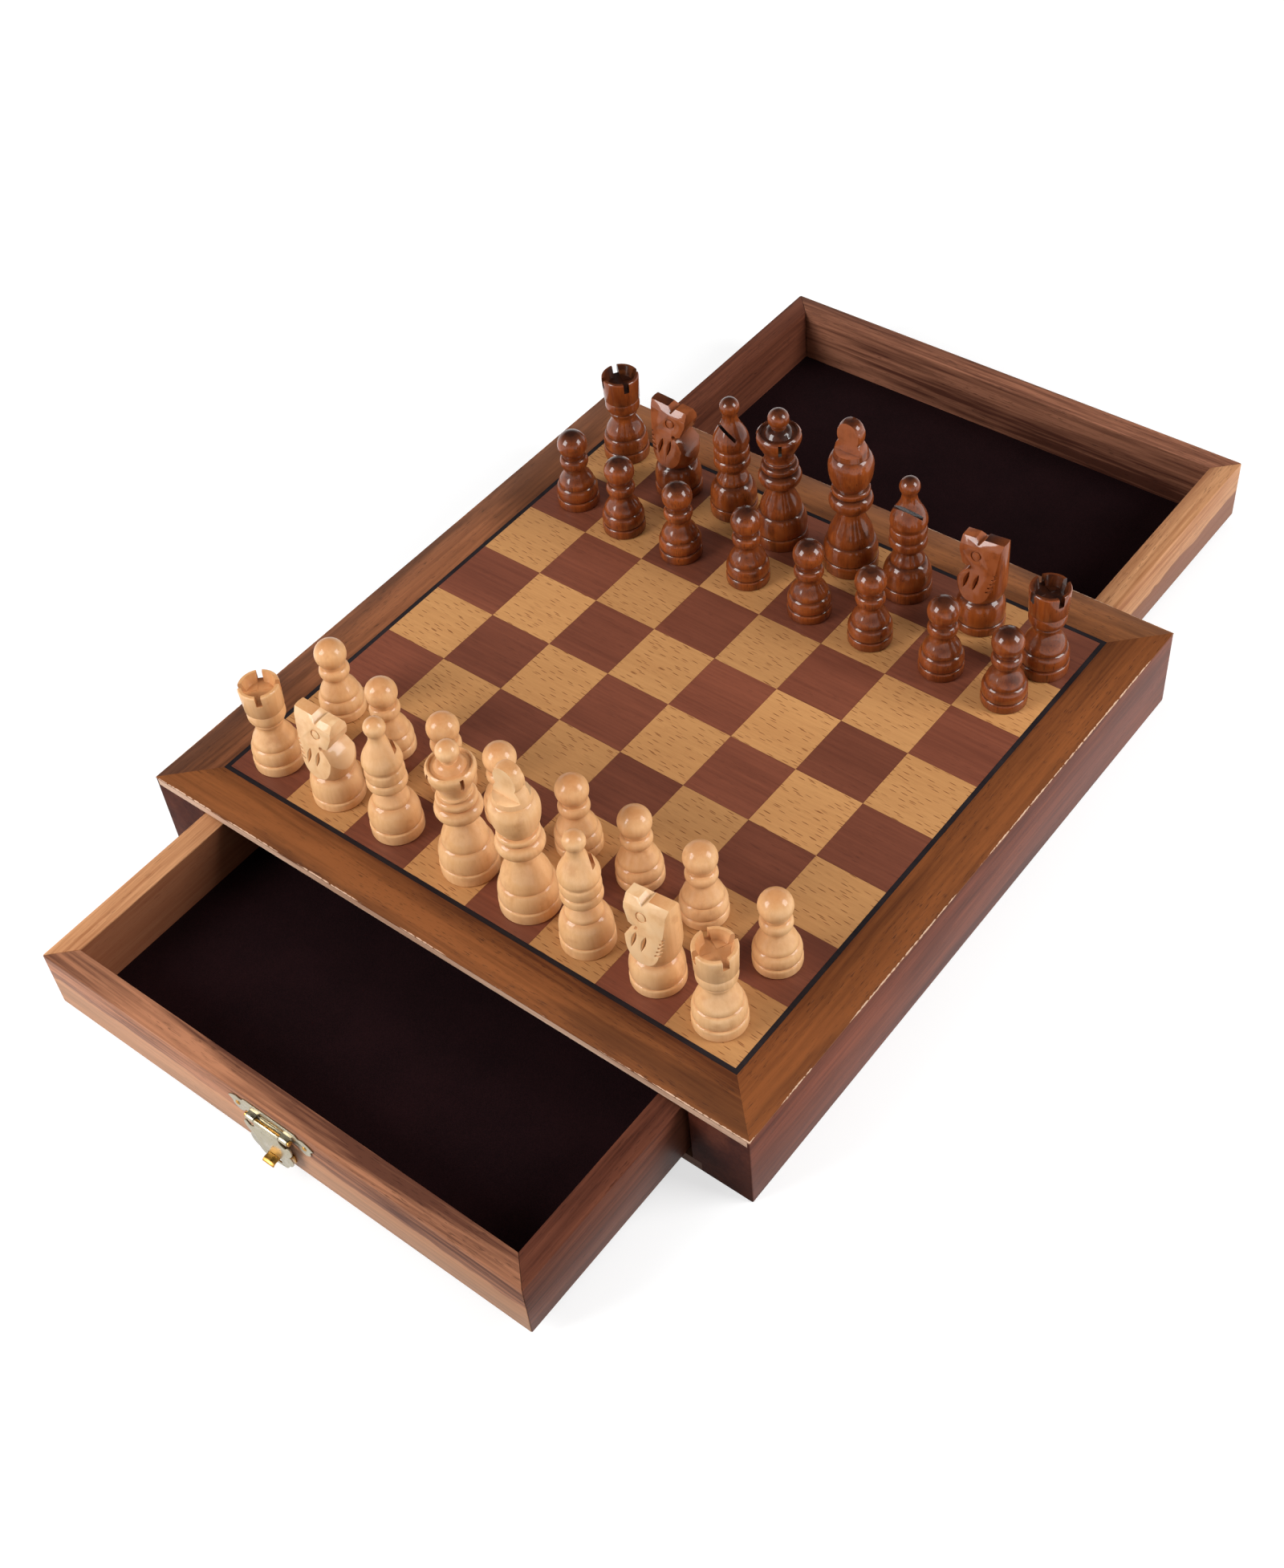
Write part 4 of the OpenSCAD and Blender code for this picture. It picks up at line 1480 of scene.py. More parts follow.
@dataclass
class Clasp:
    """One clasp: hinge plate, pin, nails, catch and hasp."""

    end: End
    sheet_t: float = 0.6 * MM
    pin_drop: float = 7.6 * MM
    pin_r: float = 0.7 * MM
    knuckle_r: float = 1.4 * MM
    back_gap: float = 0.15 * MM
    knuckle_w: float = 12.4 * MM
    knuckle_gap: float = 0.25 * MM
    end_knuckle_w: float = 4 * MM
    plate_w: float = 43 * MM
    hasp_w: float = 23.8 * MM
    hasp_len: float = 20.6 * MM
    tongue_drop: float = 16.2 * MM
    tongue_w: float = 5.6 * MM
    tongue_out: float = 7.4 * MM
    tongue_bend: float = 1.0 * MM
    slot_play: float = 0.8 * MM
    catch_w: float = 15.6 * MM
    nail_r: float = 0.7 * MM
    edge_ease: float = 0.12 * MM
    sharp: float = 40.0

    def __post_init__(self) -> None:
        """Works out the clasp's places from the drawer's own nodes."""
        name = self.end.value
        low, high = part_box(f"{name}_drawer_front")
        plate_low, plate_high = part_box(f"{name}_clasp_plate")
        middle = (plate_low + plate_high).x / 2
        face = low.y if self.end is End.FRONT else high.y
        turn = 0 if self.end is End.FRONT else math.pi
        self.place = Matrix.Translation((middle, face, high.z)) @ Matrix.Rotation(turn, 4, "Z")
        self.pin = Vector((0, -self.sheet_t - self.back_gap - self.knuckle_r, -self.pin_drop))
        self.hinge_half = self.knuckle_w / 2 + self.knuckle_gap + self.end_knuckle_w
        self.ear_z = -self.pin_drop + 0.2 * MM
        self.catch_z = -self.pin_drop - self.tongue_drop

    def seat(self, piece: bpy.types.Object, node: str, body: str, finish: Metal, slot: str) -> None:
        """Moves a piece from the clasp's own frame to its drawer, and hands it over.

        Args:
            piece: the piece.
            node: the node that it stands for, without the clasp's end.
            body: the body that it rides on, without the clasp's end.
            finish: its metal.
            slot: the record's material slot.
        """
        Bench.mend(piece)
        Bench.soften(piece, self.edge_ease, self.sharp)
        piece.data.transform(self.place)
        piece.name = piece.data.name = f"{self.end.value}_{node}_dressed"
        finish.dress(piece, slot)
        Bench.smooth(piece, self.sharp)
        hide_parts(f"{self.end.value}_{node}")
        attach(piece, f"{self.end.value}_{body}")
        LOG.info("made %s", piece.name)

    def bar(self, name: str, start: float, end: float, radius: float) -> bpy.types.Object:
        """A round bar on the hinge's axis.

        Args:
            name: the bar's name.
            start: where it starts along the axis.
            end: where it ends.
            radius: its radius.

        Returns:
            The bar.
        """
        return Bench.rod(name, self.pin + Vector((start, 0, 0)), self.pin + Vector((end, 0, 0)), radius, 28)

    def nail_hole(self, piece: bpy.types.Object, x: float, z: float) -> None:
        """Drills a nail's hole through a sheet.

        Args:
            piece: the sheet.
            x: where the hole is across the clasp.
            z: how high it is.
        """
        spot = Vector((x, 0, z))
        drill = Bench.rod("hole", spot + Vector((0, MM, 0)), spot - Vector((0, 2 * MM, 0)), self.nail_r, 20)
        Bench.combine(piece, drill)

    def plate(self) -> None:
        """The hinge plate, its leaf-shaped ears and its two knuckles."""
        edge, low = self.plate_w / 2 / MM, (-self.pin_drop - self.knuckle_r) / MM
        ear = self.ear_z / MM
        upper = [(edge - 8.6, -2), (edge - 7, -3.5), (edge - 4.6, -3), (edge - 1.8, -4.1), (edge, ear + 1.6)]
        lower = [
            (edge, ear + 1.6), (edge - 1.7, ear - 0.4), (edge - 2.1, ear - 2.6), (edge - 4.6, ear - 4.4),
            (edge - 7, ear - 3.4), (edge - 8.2, low),
        ]
        half = [*curved(upper, 5), *curved(lower, 5)[1:]]
        outline = metres([*half, *[(-x, z) for x, z in reversed(half)]])
        piece = Bench.sheet("plate", outline, 0, self.sheet_t)
        for sign in (-1, 1):
            near, far = sorted((sign * (self.knuckle_w / 2 + self.knuckle_gap), sign * self.hinge_half))
            Bench.combine(piece, self.bar("knuckle", near, far, self.knuckle_r), "UNION")
            web_low = (near, self.pin.y, self.pin.z)
            web_high = (far, -self.sheet_t / 2, self.pin.z + self.knuckle_r)
            Bench.combine(piece, Bench.block("web", web_low, web_high), "UNION")
        Bench.combine(piece, self.bar("bore", -self.plate_w, self.plate_w, self.pin_r))
        for sign in (-1, 1):
            self.nail_hole(piece, sign * (edge - 4.6) * MM, self.ear_z)
        self.seat(piece, "clasp_plate", "drawer", NICKEL, "nickelled_sheet")

    def nails(self) -> None:
        """Four domed nails with dented heads."""
        dome = 2.4 * self.nail_r
        cap = arc((0, -0.7 * dome), (dome, dome), math.degrees(math.asin(0.7)), 90, 7)
        shank = self.nail_r
        profile = [(0, -6 * MM), (shank * 0.4, -5.6 * MM), (shank, -4.4 * MM), (shank, 0), *cap]
        nail = Bench.turned("nail", profile, 20)
        nail.data.transform(Matrix.Rotation(math.pi / 2, 4, "X"))
        ear_x, catch_x = self.plate_w / 2 - 4.6 * MM, self.catch_w / 2 - 2.4 * MM
        spots = [(x, self.ear_z) for x in (-ear_x, ear_x)] + [(x, self.catch_z) for x in (-catch_x, catch_x)]
        made = [
            Bench.copy(nail, f"nail_{i}", Matrix.Translation((x, -self.sheet_t, z)))
            for i, (x, z) in enumerate(spots)
        ]
        bpy.data.objects.remove(nail)
        self.seat(Bench.join(made, "nails"), "clasp_nails", "drawer", BRASS, "brass_nails")

    def hinge_pin(self) -> None:
        """The pin, with a head at each end."""
        piece = self.bar("pin", -self.hinge_half - 0.6 * MM, self.hinge_half + 0.6 * MM, self.pin_r)
        for sign in (-1, 1):
            ends = (sign * (self.hinge_half + 0.05 * MM), sign * (self.hinge_half + 0.8 * MM))
            near, far = sorted(ends)
            Bench.combine(piece, self.bar("head", near, far, self.pin_r + 0.4 * MM), "UNION")
        self.seat(piece, "clasp_pin", "drawer", BRASS, "brass_nails")

    def catch(self) -> None:
        """The catch's small plate and the tongue bent out of it."""
        half_t = self.sheet_t / 2
        low = (-self.catch_w / 2, self.catch_z - 3 * MM)
        high = (self.catch_w / 2, self.catch_z + 2.6 * MM)
        round_end = 1.4 * MM
        corners = [
            (high[0] - round_end, low[1] + round_end, -90), (high[0] - round_end, high[1] - round_end, 0),
            (low[0] + round_end, high[1] - round_end, 90), (low[0] + round_end, low[1] + round_end, 180),
        ]
        outline = [p for x, z, a in corners for p in arc((x, z), (round_end, round_end), a, a + 90, 4)]
        piece = Bench.sheet("catch", outline, 0, self.sheet_t)
        out, bend = self.tongue_out, self.tongue_bend
        side = [
            (0, half_t), (1.6 * MM - out, half_t), (0.7 * MM - out, half_t - 0.25 * MM),
            (-out, half_t - bend), (0.4 * MM - out, -half_t - bend), (1.1 * MM - out, -half_t - 0.3 * MM),
            (1.8 * MM - out, -half_t), (0, -half_t),
        ]
        tongue = Bench.chain("tongue", [(-self.tongue_w / 2, y, self.catch_z + z) for y, z in side], True)
        bpy.ops.object.mode_set(mode="EDIT")
        bpy.ops.mesh.select_all(action="SELECT")
        bpy.ops.mesh.extrude_region_move(TRANSFORM_OT_translate={"value": (self.tongue_w, 0, 0)})
        bpy.ops.object.mode_set(mode="OBJECT")
        Bench.mend(tongue)
        Bench.combine(piece, tongue, "UNION")
        for sign in (-1, 1):
            self.nail_hole(piece, sign * (self.catch_w / 2 - 2.4 * MM), self.catch_z)
        self.seat(piece, "clasp_catch", "drawer", BRASS, "brass_nails")

    def hasp(self) -> None:
        """The scrolled hasp, its slot, and its knuckle rolled round the pin and open along the top."""
        edge, length, top = self.hasp_w / 2 / MM, self.hasp_len / MM, self.knuckle_w / 2 / MM
        scroll = [
            (top, -2.4), (edge - 3.3, -3.9), (edge - 1.2, -1.9), (edge, -3.8), (edge - 0.6, -6.8),
            (edge - 2.3, -8.8),
        ]
        lobe = [(edge - 2.3, -8.8), (edge - 1.2, -11.2), (edge - 1.9, -14.6), (edge - 4.2, -16.8)]
        tip = [(edge - 4.2, -16.8), (edge - 6, -length + 1.2), (2.6, -length + 0.4), (0, -length)]
        half = [(top, -0.4), *curved(scroll, 5), *curved(lobe, 5)[1:], *curved(tip, 4)[1:]]
        outline = metres([*half, *[(-x, z) for x, z in reversed(half[:-1])]])
        outline = [(x, z - self.pin_drop) for x, z in outline]
        leaf = Bench.sheet("leaf", outline, self.pin.y - self.knuckle_r + self.sheet_t, self.sheet_t)
        roll = self.bar("roll", -self.knuckle_w / 2, self.knuckle_w / 2, self.knuckle_r)
        Bench.combine(leaf, roll, "UNION")
        Bench.combine(leaf, self.bar("bore", -self.knuckle_w, self.knuckle_w, self.pin_r + 0.05 * MM))
        opening = Bench.block(
            "opening",
            (-self.knuckle_w, self.pin.y - 0.5 * self.knuckle_r, self.pin.z + 0.2 * self.knuckle_r),
            (self.knuckle_w, self.pin.y + 2 * self.knuckle_r, self.pin.z + 2 * self.knuckle_r),
        )
        Bench.combine(leaf, opening)
        tip_drop = self.tongue_drop + self.tongue_bend + self.sheet_t / 2
        far = math.hypot(self.tongue_out + self.pin.y, tip_drop) + 0.3 * MM
        near = self.tongue_drop - self.sheet_t / 2 - self.slot_play
        wide = self.tongue_w / 2 + self.slot_play
        slot = [(-wide, -far), (wide, -far), *arc((0, -near - 1.4 * MM), (wide, 1.4 * MM), 0, 180, 10)]
        hole = [(x, z - self.pin_drop) for x, z in slot]
        cutter = Bench.sheet("slot", hole, self.pin.y + self.sheet_t, self.knuckle_r + 3 * MM)
        Bench.combine(leaf, cutter)
        self.seat(leaf, "hasp", "hasp", NICKEL, "nickelled_sheet")

    def build(self) -> None:
        """Makes the whole clasp."""
        self.plate()
        self.nails()
        self.hinge_pin()
        self.catch()
        self.hasp()


# ------------------------------------------------------------------------------------------------ the men


@dataclass
class TurnedMan:
    """One kind of man: turned from a profile, then cut, and copied to every place where it stands."""

    STAIN_AND_SHADE = "stain_and_shade"
    SAWN = "sawn"
    NEARBY = 2.4  # millimetres up and down that a groove is compared with
    steps: int = 72
    pale_cuts: bool = False

    def profile(self) -> list[Point]:
        """The turned outline, in millimetres."""
        raise NotImplementedError

    def cuts(self, piece: bpy.types.Object) -> None:
        """What is sawn, drilled or carved after turning."""

    def mark(self, piece: bpy.types.Object) -> None:
        """Marks where the men are darkened by staining and painted shade, in the grooves and in rough cuts,
        and which faces were sawn clean.

        Args:
            piece: the modelled man.
        """
        outline = self.profile()
        steps = list(zip(outline, outline[1:]))
        mesh = piece.data

        def cut_depth(radius: float, height: float) -> float:
            """How far a place lies from the turned outline.

            Args:
                radius: how far the place is from the axis.
                height: how high it is.

            Returns:
                The distance.
            """
            point = Vector((radius, height))
            gaps = []
            for first, last in steps:
                nearest, share = intersect_point_line(point, Vector(first), Vector(last))
                inside = 0 <= share <= 1
                gaps.append((point - (nearest if inside else Vector(first))).length)
            return min(gaps)

        def hollow(radius: float, height: float) -> float:
            """How deep a place lies under the widest stretch nearby, with some painted shade at the very
            bottom of the foot.

            Args:
                radius: how far the place is from the axis.
                height: how high it is.

            Returns:
                A share from 0 to 1.
            """
            near = [r for r, z in outline if abs(z - height) < self.NEARBY]
            # Painted shade: the lowest millimetre of the foot is darkened where it stands on the board.
            under = 0.35 if height < 1 else 0.0
            return min(max((max(near, default=radius) - radius - 0.5) / 2.6, under), 1.0)

        def polar(place: Vector) -> Point:
            """A place's radius and height in millimetres."""
            return math.hypot(place.x, place.y) / MM, place.z / MM

        grooves = [hollow(*polar(vertex.co)) for vertex in mesh.vertices]
        stain_and_shade, sawn = [], []
        for face in mesh.polygons:
            cut = cut_depth(*polar(face.center)) > 0.3
            for corner in face.vertices:
                # Rough cuts of men without pale cuts, such as the rook's bore and the kerfs, take the whole
                # mask: darker staining and painted shade in the recess.
                stain_and_shade.append(0.0 if cut and self.pale_cuts else 1.0 if cut else grooves[corner])
                sawn.append(1.0 if cut and self.pale_cuts else 0.0)
        for name, values in ((self.STAIN_AND_SHADE, stain_and_shade), (self.SAWN, sawn)):
            mesh.attributes.new(name, "FLOAT", "CORNER").data.foreach_set("value", values)

    def model(self) -> bpy.types.Object:
        """Turns and cuts one man at the origin.

        Returns:
            The man.
        """
        piece = Bench.turned(type(self).__name__.lower(), metres(self.profile()), self.steps)
        self.cuts(piece)
        Bench.mend(piece)
        self.mark(piece)
        Bench.smooth(piece, 38)
        return piece

    def stand(self, piece: bpy.types.Object, node: str, turn: float, finish: TurnedWood, slot: str) -> None:
        """Copies the man to where a node stands, and hands it over.

        Args:
            piece: the modelled man.
            node: the node that the copy stands for, which is also its body.
            turn: how far it is turned about Z, in degrees.
            finish: its wood.
            slot: the record's material slot.
        """
        low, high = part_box(node)
        place = Matrix.Translation(((low + high).x / 2, (low + high).y / 2, low.z))
        made = Bench.copy(piece, f"{node}_turned", place @ Matrix.Rotation(math.radians(turn), 4, "Z"))
        finish.dress(made, slot)
        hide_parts(node)
        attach(made, node)


class Pawn(TurnedMan):
    """A ball on a skirt."""

    def profile(self) -> list[Point]:
        """The pawn's outline."""
        return [
            *foot(9.6, 4.7), *swell(9.45, 7.2, 2.6, 4.4, 4.7, 50), (8.0, 11.0),
            *skirt((8.1, 11.4), (4.8, 19.6)), *bead(6.4, 23.1, 1.8, 2.9),
            *arc((0, 32.1), (6.7, 6.7), -42, 90, 20),
        ]


class Rook(TurnedMan):
    """A turret, bored out, with two saw cuts that cross."""

    height = 44.0
    kerf = 2.5

    def profile(self) -> list[Point]:
        """The rook's outline."""
        return [
            *foot(10.6, 5.5), *swell(10.3, 8.4, 2.6, 5.0, 5.5, 50), (8.8, 12.6),
            *skirt((8.9, 13), (5.5, 22.4)), *bead(6.4, 24.3, 0.8, 1.0), *collar(7.9, 28.4, 1.9, 0.5, 3.0),
            (8.1, 32.2), (8.5, self.height - 0.9), (8.4, self.height - 0.3), (8.1, self.height),
            (0, self.height),
        ]

    def cuts(self, piece: bpy.types.Object) -> None:
        """Bores the turret and saws it crosswise.

        Args:
            piece: the turned man.
        """
        top, half = self.height * MM, self.kerf / 2 * MM
        low, high = Vector((0, 0, top - 4.6 * MM)), Vector((0, 0, top + 0.2 * MM))
        Bench.combine(piece, Bench.rod("bore", low, high, 5.6 * MM, 48, 7.0 * MM))
        for turn in (0, 90):
            saw = Bench.block("saw", (-12 * MM, -half, top - 4.8 * MM), (12 * MM, half, top + 2 * MM))
            saw.data.transform(Matrix.Rotation(math.radians(turn), 4, "Z"))
            Bench.combine(piece, saw)


@dataclass
class Bishop(TurnedMan):
    """A mitre under a ball, sawn on its side +X either steeply or on a slant."""

    steep: bool = True
    height: float = 61.4
    ball: float = 4.4
    kerf: float = 1.5

    def profile(self) -> list[Point]:
        """The bishop's outline."""
        ball = self.height - self.ball
        return [
            *foot(10.8, 6), *swell(10.5, 9, 5, 9, 6, 60), (7.3, 17.3), *skirt((7.4, 17.7), (5.0, 24)),
            *collar(8.2, 27.9, 2.2, 0.8, 2.6), *bead(8.0, 33.4, 0.8, 2.7), *skirt((7.3, 36.3), (8.1, 39), 5),
            *skirt((8.1, 39.2), (3.3, ball - 4.3)), *arc((0, ball), (self.ball, self.ball), -40, 90, 16),
        ]

    def cuts(self, piece: bpy.types.Object) -> None:
        """Saws the mitre's side.

        Args:
            piece: the turned man.
        """
        ball, half = self.height - self.ball, self.kerf / 2 * MM
        x, z, tilt, depth = (5.1, ball - 12.6, -4, 8.6) if self.steep else (0.8, ball - 14, 38, 14)
        saw = Bench.block("saw", (-half, -10 * MM, 0), (half, 10 * MM, depth * MM))
        place = Matrix.Translation((x * MM, 0, z * MM))
        saw.data.transform(place @ Matrix.Rotation(math.radians(tilt), 4, "Y"))
        Bench.combine(piece, saw)


class Queen(TurnedMan):
    """A cup with a sunk ring and four notches, under a ball."""

    height = 69.8
    ball = 4.65
    slit = 1.5

    @property
    def rim(self) -> float:
        """The height of the cup's rim."""
        return self.height - self.ball - 6.8

    def profile(self) -> list[Point]:
        """The queen's outline."""
        ball, rim = self.height - self.ball, self.rim
        return [
            *foot(11.8, 6.3), *swell(11.5, 9, 5, 9.5, 6.3, 48), (9.2, 16.5),
            *skirt((9.3, 16.9), (5.1, 31), 16), *bead(9.5, 34.9, 3.0, 3.5), *collar(8.2, 40.6, 1.4, 1.6, 1.9),
            *bead(6.9, 43.7, 0.6, 0.9), *skirt((6.2, 45), (9.8, rim - 2.4)), (9.75, rim - 1.4),
            (9.4, rim - 0.6), (8.7, rim), (8.2, rim - 0.1), (7.8, rim - 0.8), (6.3, rim - 0.6), (5.9, rim),
            *arc((0, rim), (5.7, 3.0), 20, 55, 6), *arc((0, ball), (self.ball, self.ball), -45, 90, 16),
        ]

    def cuts(self, piece: bpy.types.Object) -> None:
        """Saws four notches into the cup.

        Args:
            piece: the turned man.
        """
        half = self.slit / 2 * MM
        for turn in range(0, 360, 90):
            saw = Bench.rod("saw", Vector((-half, 0, 0)), Vector((half, 0, 0)), 5.3 * MM, 40)
            out = Matrix.Translation((0, -12.5 * MM, (self.rim - 5) * MM))
            saw.data.transform(Matrix.Rotation(math.radians(turn), 4, "Z") @ out)
            Bench.combine(piece, saw)


@dataclass
class King(TurnedMan):
    """A bulb under a coned finial that is sawn flat on two sides."""

    pale_cuts: bool = True
    height = 77.0
    bulb = 9.8
    flat = 2.7

    def profile(self) -> list[Point]:
        """The king's outline.

        Returns:
            The outline's points.
        """
        top = self.height
        middle = top - 22.3
        drop = (middle - 43.8) / math.sin(math.radians(45))
        return [
            *foot(12.2, 6.2), *swell(11.9, 8.8, 4, 8, 6.2, 46), (10, 15), *skirt((10.1, 15.4), (5.4, 32), 16),
            *bead(9.6, 36.2, 3.2, 3.9), *collar(8.4, 41.9, 0.9, 1.1, 1.6),
            *arc((0, middle), (self.bulb, drop), -45, 0, 12), *arc((0, middle), (self.bulb, 9.4), 3, 37, 10),
            (7.6, top - 16.5), (7.5, top - 16.1), (6.4, top - 11.4), (5.3, top - 9.6),
            *bead(5.9, top - 6.2, 0.6, 2.6), (5.0, top - 2.6), (4.6, top - 1.6), (3.5, top - 0.4), (2.8, top),
            (0, top),
        ]

    def cuts(self, piece: bpy.types.Object) -> None:
        """Saws the finial's two flats.

        Args:
            piece: the turned man.
        """
        bottom, top = (self.height - 14.4) * MM, (self.height + 6) * MM
        for low, high in ((self.flat, self.flat + 10), (-self.flat - 10, -self.flat)):
            saw = Bench.block("saw", (-12 * MM, low * MM, bottom), (12 * MM, high * MM, top))
            Bench.combine(piece, saw)


@dataclass
class Knight(TurnedMan):
    """A horse's head sawn and carved from the turned blank, between two cheeks that taper to the brow.

    It faces +X.
    """

    pale_cuts: bool = True
    height: float = 47.8
    taper: float = 9.4
    cheek_y: float = 8.6
    cheek_z: float = 18.0
    crown_slope: float = 5.2
    bevel: float = 3.2
    mouth: Point = (3.2, 33.2)
    nose: float = 8.8
    eye: Point = (1.0, 39.6)
    disc: float = 8.0
    gouge: float = 1.3
    edge_break: float = 0.3 * MM

    def profile(self) -> list[Point]:
        """The blank's outline."""
        return [
            *foot(10.8, 4.6), *swell(10.6, 8, 3.6, 8, 4.6, 66), (7.4, 16),
            *arc((7.2, 25), (3.3, 8.8), -80, 0, 16), (10.3, self.height), (0, self.height),
        ]

    def cheek_tools(self, side: int) -> list[bpy.types.Object]:
        """The flat saw cut of one cheek, and what is carved into it.

        Args:
            side: 1 for the cheek at +Y, -1 for the one at -Y.

        Returns:
            The cutters.
        """
        tools = [Bench.block("saw", (-13 * MM, 0, -4 * MM), (13 * MM, 12 * MM, self.height * MM))]
        slope = math.radians(12) * side
        along = Vector((math.cos(slope), 0, math.sin(slope)))
        for x in (-2.0, 2.4):
            middle = Vector((x + 1.4 * side, self.disc - self.gouge, 9.2)) * MM
            for way in (-1, 1):
                tip = middle + along * (1.1 * way * MM)
                end_r = (self.disc - self.gouge) * MM
                tools.append(Bench.rod("gouge", middle, tip, self.disc * MM, 96, end_r))
        eye_at = Vector((self.eye[0], 0, self.eye[1] - self.cheek_z)) * MM
        inward, outward = Vector((0, -0.5 * MM, 0)), Vector((0, 2.5 * MM, 0))
        ring = Bench.rod("eye", eye_at + inward, eye_at + outward, 2.4 * MM, 40)
        Bench.combine(ring, Bench.rod("pupil", eye_at + 2 * inward, eye_at + 2 * outward, 1.8 * MM, 40))
        tools.append(ring)
        for i in range(5):
            nick = Bench.block("nick", (0, 0, 0), (2.6 * MM, 4 * MM, 0.8 * MM))
            place = Vector((-10.4 + 0.6 * i, -0.9, 16 - 2.2 * i)) * MM
            nick.data.transform(Matrix.Translation(place) @ Matrix.Rotation(math.radians(26), 4, "Y"))
            tools.append(nick)
        tilt = Matrix.Rotation(math.radians(self.taper), 4, "X")
        seat = Matrix.Translation((0, self.cheek_y * MM, self.cheek_z * MM)) @ tilt
        for tool in tools:
            tool.data.transform(seat)
        return tools

    def crown_tools(self) -> list[bpy.types.Object]:
        """The sloping crown, its bevel along each cheek and the brow notch.

        Returns:
            The cutters.
        """
        crown = self.height - 1
        reach = self.cheek_y - (crown - self.bevel - self.cheek_z) * math.tan(math.radians(self.taper))
        tools = [Bench.block("crown", (-14 * MM, -13 * MM, 0), (14 * MM, 13 * MM, 4 * MM))]
        for side in (-1, 1):
            brow = Bench.block("brow", (-14 * MM, 0, 0), (14 * MM, 8 * MM, 10 * MM))
            brow.data.transform(
                Matrix.Scale(side, 4, (0, 1, 0)) @ Matrix.Translation((0, reach * MM, -self.bevel * MM))
                @ Matrix.Rotation(math.radians(30), 4, "X")
            )
            Bench.mend(brow)
            tools.append(brow)
        tools.append(self.side_cut([(-2, 1), (0.7, -2.3), (1.4, -2.5), (3.6, 1)]))
        tilt = Matrix.Rotation(math.radians(self.crown_slope), 4, "Y")
        seat = Matrix.Translation((0, 0, crown * MM)) @ tilt
        for tool in tools:
            tool.data.transform(seat)
        return tools

    def side_cut(self, outline: Sequence[Point]) -> bpy.types.Object:
        """A cutter right through the head from side to side.

        Args:
            outline: the cutter's (x, z) outline, in millimetres.

        Returns:
            The cutter.
        """
        return Bench.sheet("saw", metres(outline), 14 * MM, 28 * MM)

    def throat_tools(self) -> list[bpy.types.Object]:
        """The nose, the jaw and the chest below it, and the drilled end of the mouth.

        Returns:
            The cutters.
        """
        x, z = self.mouth
        out = self.nose - x
        outline = [
            (12, -13.5), (7.8, -13.5), (6.4, -9.4), (4.8, -6), (2.6, -2.8), (0, 0), (out - 2.3, 1.2),
            (out, 6.8), (out, 16), (12, 16),
        ]
        low, high = Vector((x, -13, z)) * MM, Vector((x, 13, z)) * MM
        cut = self.side_cut([(x + a, z + b) for a, b in outline])
        return [cut, Bench.rod("drill", low, high, 1.0 * MM, 24)]

    def cuts(self, piece: bpy.types.Object) -> None:
        """Saws and carves the head, and breaks its edges.

        Args:
            piece: the turned man.
        """
        tools = self.cheek_tools(1)
        for tool in self.cheek_tools(-1):
            tool.data.transform(Matrix.Scale(-1, 4, (0, 1, 0)))
            Bench.mend(tool)
            tools.append(tool)
        for tool in (*tools, *self.crown_tools(), *self.throat_tools()):
            Bench.combine(piece, tool)
        Bench.mend(piece)
        Bench.soften(piece, self.edge_break, 22)


@dataclass
class ChessSet:
    """The 32 men."""

    files: str = "abcdefgh"
    officers: tuple[str, ...] = (
        "rook_a", "knight_b", "bishop_c", "queen", "king", "bishop_f", "knight_g", "rook_h",
    )
    white_turns: tuple[float, ...] = (-47, 2, 62, 68, 0, 55, 182, -26)
    black_turns: tuple[float, ...] = (-32, 2, -119, 38, 0, -88, 182, -27)
    # Each finish's groove colour and share also paint shade into the grooves, the rough cuts and onto upward
    # faces.
    light: TurnedWood = TurnedWood(
        "boxwood_men", srgb(238, 192, 142), srgb(220, 166, 110), srgb(176, 122, 76), grain=Grain.Z, bands=90,
        streaks=700, streak_share=0.4, contrast=0.7, pore_share=0.12, roughness=0.5, coat=0.5,
        relief=0.015 * MM, groove=srgb(184, 116, 64), crest=srgb(240, 200, 150), groove_share=0.6,
        sawn=srgb(232, 192, 146),
    )
    dark: TurnedWood = TurnedWood(
        "stained_men", srgb(154, 76, 27), srgb(106, 46, 16), srgb(50, 22, 10), grain=Grain.Z, bands=110,
        streaks=760, streak_share=0.35, contrast=0.9, pore_share=0.6, roughness=0.5, coat=0.8,
        relief=0.015 * MM, groove=srgb(38, 15, 8), crest=srgb(172, 92, 36), groove_share=0.95,
        sawn=srgb(152, 82, 44),
    )

    def build(self) -> None:
        """Makes each kind of man once and stands its copies on the board."""
        pawns = [f"pawn_{letter}" for letter in self.files]
        white, black = ("white", self.light, "light_men"), ("black", self.dark, "dark_men")
        turns = {
            f"{side}_{name}": turn
            for side, values in (("white", self.white_turns), ("black", self.black_turns))
            for name, turn in zip(self.officers, values)
        }
        plan = [
            (Rook(), ["rook_a", "rook_h"], (white, black)),
            (Knight(), ["knight_b", "knight_g"], (white, black)),
            (Bishop(steep=True), ["bishop_c", "bishop_f"], (white,)),
            (Bishop(steep=False), ["bishop_c", "bishop_f"], (black,)),
            (Queen(), ["queen"], (white, black)),
            (King(), ["king"], (white, black)),
            (Pawn(), pawns, (white, black)),
        ]
        for man, places, sides in plan:
            piece = man.model()
            for side, finish, slot in sides:
                for place in places:
                    node = f"{side}_{place}"
                    man.stand(piece, node, turns.get(node, 0), finish, slot)
            bpy.data.objects.remove(piece)
            LOG.info("turned a %s and stood %d of them", type(man).__name__.lower(), len(sides) * len(places))


# ------------------------------------------------------------------------------------------------ the studio


